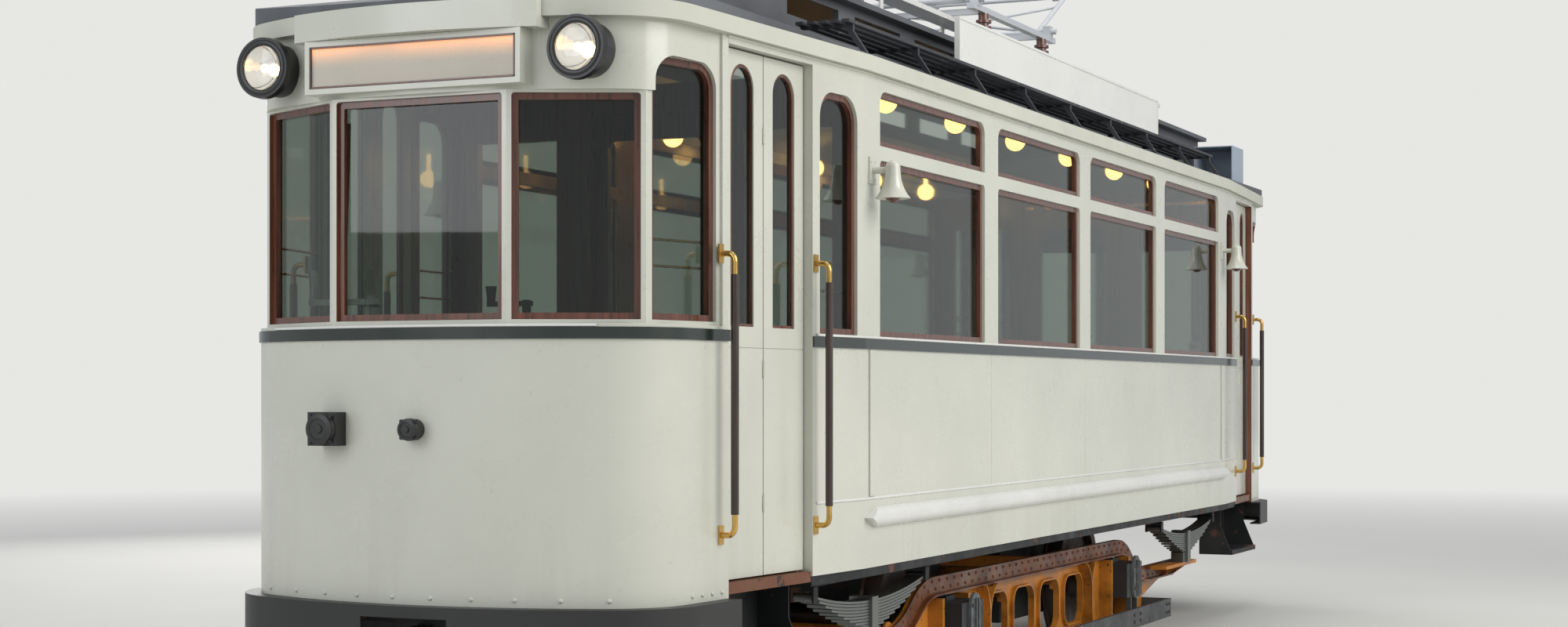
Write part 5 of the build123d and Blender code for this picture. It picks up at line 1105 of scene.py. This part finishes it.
class TRAM_OT_destination(bpy.types.Operator):
    """Fit the blank sign and its glass in each destination box"""

    bl_idname = "tram.destination"
    bl_label = "Destination signs"

    def execute(self, context):
        low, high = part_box("destination_boxes")
        half, face = high[0] - sign_border, high[1]
        foot, top = low[2] + sign_border, high[2] - sign_border
        papers, panes, rims = [], [], []
        for end in ends:
            # Depths behind the face: sign, pane, and rim, which stands out in front
            for meshes, back, front in ((papers, 0.0135, 0.0105), (panes, 0.006, 0.003)):
                far, near = end * (face - back), end * (face - front)
                meshes.append(slab((-half, far, foot), (half, near, top), 0.0))
            back, front = end * (face - 0.008), end * (face + 0.002)
            for z in (foot - 0.006, top - 0.002):
                rims.append(slab((-half - 0.006, back, z), (half + 0.006, front, z + 0.008)))
            for x in (-half - 0.006, half - 0.002):
                rims.append(slab((x, back, foot - 0.006), (x + 0.008, front, top + 0.006)))
        finished("sign_papers", joined(papers), sign_paper(), "root", False)
        finished("sign_panes", joined(panes), lens_glass(), "root", False)
        finished("sign_rims", joined(rims), mahogany_frames(), "root", False)
        return {"FINISHED"}


class TRAM_OT_door_panes(bpy.types.Operator):
    """Glaze the leaves of the folding doors"""

    bl_idname = "tram.door_panes"
    bl_label = "Door panes"

    def execute(self, context):
        half = leaf_window_width / 2
        low, high = leaf_window
        opening = round_topped(half - 0.0005, low + 0.0005, high - 0.0005)
        inner = round_topped(half - 0.011, low + 0.011, high - 0.011)
        for node in filter(door_leaf, frame["nodes"]):
            side = 1 if "_left_" in node else -1
            box_low, box_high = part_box(node)
            y = (box_low[1] + box_high[1]) / 2
            out = side_normal(side, y)
            place = Vector((side * side_x(y), y, 0)) - out * leaf_inset
            along = out.cross(Vector((0, 0, 1)))
            glass = pane(inner, place, along, out, 0.004)
            trim = ring(opening, inner, place, along, out, 0.024)
            finished(node + "_pane", glass, window_glass(), node, False)
            finished(node + "_trim", trim, mahogany_frames(), node, False)
        return {"FINISHED"}


# Signal bulb profile, each point as (radius, height over the bell's mouth)
signal_profile = ((0.0, -0.016), (0.016, -0.013), (0.028, -0.004), (0.034, 0.010), (0.034, 0.024),
                  (0.028, 0.040), (0.020, 0.056), (0.018, 0.078), (0.0, 0.079))


class TRAM_OT_signal_bulbs(bpy.types.Operator):
    """Hang a dark red bulb in each bell lamp and screw its plate to the wall"""

    bl_idname = "tram.signal_bulbs"
    bl_label = "Signal bulbs"

    def execute(self, context):
        low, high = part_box("signal_lamps")
        x, plate_x, plate_z = high[0] - 0.074, half_width + 0.0088, 2.418
        bulbs, ties = [], []
        for side in sides:
            for end in ends:
                bulbs.append(turned(signal_profile, (side * x, end * post_y, low[2]), (0, 0, 1), 24))
                ties += [((side * plate_x, end * post_y + a, plate_z + b), (side, 0, 0))
                         for b in (0.037, -0.037) for a in (0.02, -0.02)]
        finished("signal_bulbs", joined(bulbs), dark_red_bulb(), "root")
        heads("signal_screws", ties, 0.006, 0.003, cream_plain(), "root")
        return {"FINISHED"}


# Socket cap profile, each point as (share of the socket's radius, distance out)
cap_profile = ((1.06, -0.030), (1.06, -0.012), (0.98, -0.006), (0.98, 0.000), (0.7, 0.004), (0.66, 0.001),
               (0.3, 0.001), (0.28, 0.006), (0.0, 0.007))


class TRAM_OT_dash_couplings(bpy.types.Operator):
    """Finish the cable sockets on the dashes with caps, lugs and screws"""

    bl_idname = "tram.dash_couplings"
    bl_label = "Dash sockets"

    def execute(self, context):
        height, reach, plate = 1.370, 4.959, dash_front_y + 0.039
        caps, screws = [], []
        for end in ends:
            out = (0, end, 0)
            for x, radius in ((-0.355, 0.055), (0.020, 0.038)):
                profile = [(share * radius, distance) for share, distance in cap_profile]
                caps.append(turned(profile, (-end * x, end * reach, height), out, 36))
                for turn in range(4):
                    angle = pi / 4 + turn * pi / 2
                    a, b = radius * 1.08 * cos(angle) - end * x, radius * 1.08 * sin(angle) + height
                    caps.append(slab((a - 0.007, end * (reach - 0.026), b - 0.007),
                                     (a + 0.007, end * (reach - 0.008), b + 0.007)))
            screws += [((end * 0.355 + a, end * plate, height + b), out)
                       for a in (-0.05, 0.05) for b in (-0.05, 0.05)]
        finished("socket_caps", joined(caps), black_paint(), "root")
        heads("socket_screws", screws, 0.006, 0.004, black_paint(), "root", False, 6)
        return {"FINISHED"}


class TRAM_OT_guard_fittings(bpy.types.Operator):
    """Bolt the guard frame at its hangers and corners, and the covers of the axle boxes"""

    bl_idname = "tram.guard_fittings"
    bl_label = "Guard and axle-box bolts"

    def execute(self, context):
        out_x, end_y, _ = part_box("guard_frame")[1]
        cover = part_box("axle_boxes")[1][0] - 0.012
        hanger_heights, corner_heights, cover_heights = (0.165, 0.205), (0.16, 0.21), (0.36, 0.49)
        guard, covers = [], []
        for side in sides:
            out = (side, 0, 0)
            for end in ends:
                for y in (-0.062, 0.062):
                    guard += [((side * out_x, end * axle_y + y, z), out) for z in hanger_heights]
                for i in range(sizes().guard_bolts):
                    x, y = side * (out_x - 0.07 - 0.05 * i), end * (end_y - 0.05 - 0.05 * i)
                    guard += [((side * out_x, y, z), out) for z in corner_heights]
                    guard += [((x, end * end_y, z), (0, end, 0)) for z in corner_heights]
                covers += [((side * cover, end * axle_y + y, z), out)
                           for z in cover_heights for y in (-0.048, 0.048)]
        for name, places in (("guard_bolts", guard), ("cover_bolts", covers)):
            heads(name, places, 0.009, 0.007, bolt_steel(), "root", False, 6)
        return {"FINISHED"}


class TRAM_OT_board_frames(bpy.types.Operator):
    """Frame the route boards with a dark strip"""

    bl_idname = "tram.board_frames"
    bl_label = "Route board frames"

    def execute(self, context):
        low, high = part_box("route_boards")
        strips = []
        for side in sides:
            back, front = side * (high[0] - 0.006), side * (high[0] - 0.0005)
            for z in (low[2] + 0.001, high[2] - 0.011):
                strips.append(slab((back, low[1] + 0.001, z), (front, high[1] - 0.001, z + 0.01), 0.001))
            for y in (low[1] + 0.001, high[1] - 0.011):
                strips.append(slab((back, y, low[2] + 0.001), (front, y + 0.01, high[2] - 0.001), 0.001))
        finished("board_frames", joined(strips), rack_grey_paint(), "root", False)
        return {"FINISHED"}


class TRAM_OT_window_slats(bpy.types.Operator):
    """Lean the two pale wooden slats against the inner side of each windscreen's posts"""

    bl_idname = "tram.window_slats"
    bl_label = "Windscreen slats"

    def execute(self, context):
        lines = []
        for end in ends:
            # Foot and head of each slat: distance across, height
            for slat in (((0.372, 1.93), (0.350, 2.49)), ((-0.345, 2.21), (-0.325, 2.53))):
                lines.append([(end * x, end * 4.775, z) for x, z in slat])
        rods("windscreen_slats", lines, 0.012, bench_wood(), "root", "bench_wood", 4)
        return {"FINISHED"}


class TRAM_OT_stage(bpy.types.Operator):
    """Set up the pale floor, the soft lamps and the camera"""

    bl_idname = "tram.stage"
    bl_label = "Stage"

    def execute(self, context):
        scene = context.scene
        scene.view_settings.view_transform = "Standard"
        self.lay_floor(scene)
        self.light_world(scene)

        # Each lamp: name, place, aim, size, power, colour
        lamps = (
            ("side lamp", (11, -3, 7.5), (1, -0.5, 1.3), 8.0, 1080, (1.0, 0.985, 0.95)),
            ("front lamp", (-3, -13, 5.5), (0, -4.5, 1.4), 6.0, 330, (0.95, 0.97, 1.0)),
            ("top lamp", (0, 0, 11), (0, 0, 3), 8.0, 420, (1.0, 0.98, 0.95)),
            ("far lamp", (-9, 8, 6), (0, 2, 1.5), 7.0, 500, (1.0, 0.98, 0.95)),
        )
        for name, place, aim, size, power, colour in lamps:
            lamp = bpy.data.lights.new(name, "AREA")
            lamp.size, lamp.energy, lamp.color = size, power, colour
            holder = aimed(scene, name, lamp, place, Vector(aim) - Vector(place))
            holder.visible_transmission = False

        # Camera: its place, and the level direction that it looks in
        place, direction = (4.66, -12.0, 1.5), (-0.411, 0.912, 0.0)
        camera = bpy.data.cameras.new("camera")
        camera.lens, camera.sensor_width = 54.0, 36.0
        camera.shift_y = 0.05075
        camera.clip_end = 200
        scene.camera = aimed(scene, "camera", camera, place, direction)
        return {"FINISHED"}

    def lay_floor(self, scene):
        """Pale floor that turns into the backdrop's own colour far from the car."""
        mesh = slab((-60, -60, -0.1), (60, 60, 0.0), 0.0)
        floor = bpy.data.objects.new("studio_floor", mesh)
        scene.collection.objects.link(floor)
        pale = Finish("studio_floor", (0.62, 0.61, 0.58), 0.75)
        away = pale.node("ShaderNodeVectorMath", {0: pale.place}, operation="LENGTH").outputs["Value"]
        distance = pale.spread(away, *floor_fade)
        pale.feed("Base Color", pale.mix(pale.noise(0.6, 5), (0.6, 0.59, 0.565), (0.66, 0.65, 0.62)))
        pale.cover(distance, (0.0, 0.0, 0.0))
        pale.feed("Emission Strength", distance)
        pale.put({"Emission Color": (*backdrop_colour, 1)})
        pale.feed("Specular IOR Level", pale.spread(away, *floor_fade, 0.5, 0.0))
        mesh.materials.append(pale.material)

    def light_world(self, scene):
        """Soft cool light all round, with a plain backdrop where the camera sees past the floor."""
        world = bpy.data.worlds.new("studio")
        world.use_nodes = True
        scene.world = world
        tree = world.node_tree
        light = tree.nodes["Background"]
        light.inputs["Color"].default_value = (0.86, 0.9, 0.94, 1)
        light.inputs["Strength"].default_value = 0.56
        backdrop = add_node(tree, "ShaderNodeBackground", {"Color": (*backdrop_colour, 1)})
        path = add_node(tree, "ShaderNodeLightPath").outputs
        seen = add_node(tree, "ShaderNodeMath", {0: path["Is Camera Ray"], 1: path["Is Transmission Ray"]},
                        operation="MAXIMUM")
        blend = add_node(tree, "ShaderNodeMixShader", {0: seen.outputs[0], 1: light.outputs[0],
                                                       2: backdrop.outputs[0]})
        tree.links.new(blend.outputs[0], tree.nodes["World Output"].inputs["Surface"])


class TRAM_PT_panel(bpy.types.Panel):
    """Sidebar panel with the car's settings and pieces"""

    bl_idname = "TRAM_PT_panel"
    bl_label = "Tram"
    bl_space_type = "VIEW_3D"
    bl_region_type = "UI"
    bl_category = "Tram"

    def draw(self, context):
        for settings in (context.scene.tram_colours, context.scene.tram_sizes):
            for name in settings.bl_rna.properties.keys():
                if name not in ("rna_type", "name"):
                    self.layout.prop(settings, name)
        for operator in operators:
            self.layout.operator(operator.bl_idname)


operators = (
    TRAM_OT_paint,
    TRAM_OT_dash_bolts,
    TRAM_OT_headlamps,
    TRAM_OT_truck_rivets,
    TRAM_OT_guard_bars,
    TRAM_OT_panel_beads,
    TRAM_OT_destination,
    TRAM_OT_door_panes,
    TRAM_OT_signal_bulbs,
    TRAM_OT_dash_couplings,
    TRAM_OT_guard_fittings,
    TRAM_OT_board_frames,
    TRAM_OT_window_slats,
    TRAM_OT_stage,
)
classes = (TramColours, TramSizes, *operators, TRAM_PT_panel)


def register():
    for each in classes:
        bpy.utils.register_class(each)
    bpy.types.Scene.tram_colours = PointerProperty(type=TramColours)
    bpy.types.Scene.tram_sizes = PointerProperty(type=TramSizes)


def unregister():
    del bpy.types.Scene.tram_sizes
    del bpy.types.Scene.tram_colours
    for each in reversed(classes):
        bpy.utils.unregister_class(each)


def main():
    register()
    for operator in operators:
        group, name = operator.bl_idname.split(".")
        getattr(getattr(bpy.ops, group), name)()


if __name__ == "__main__":
    main()
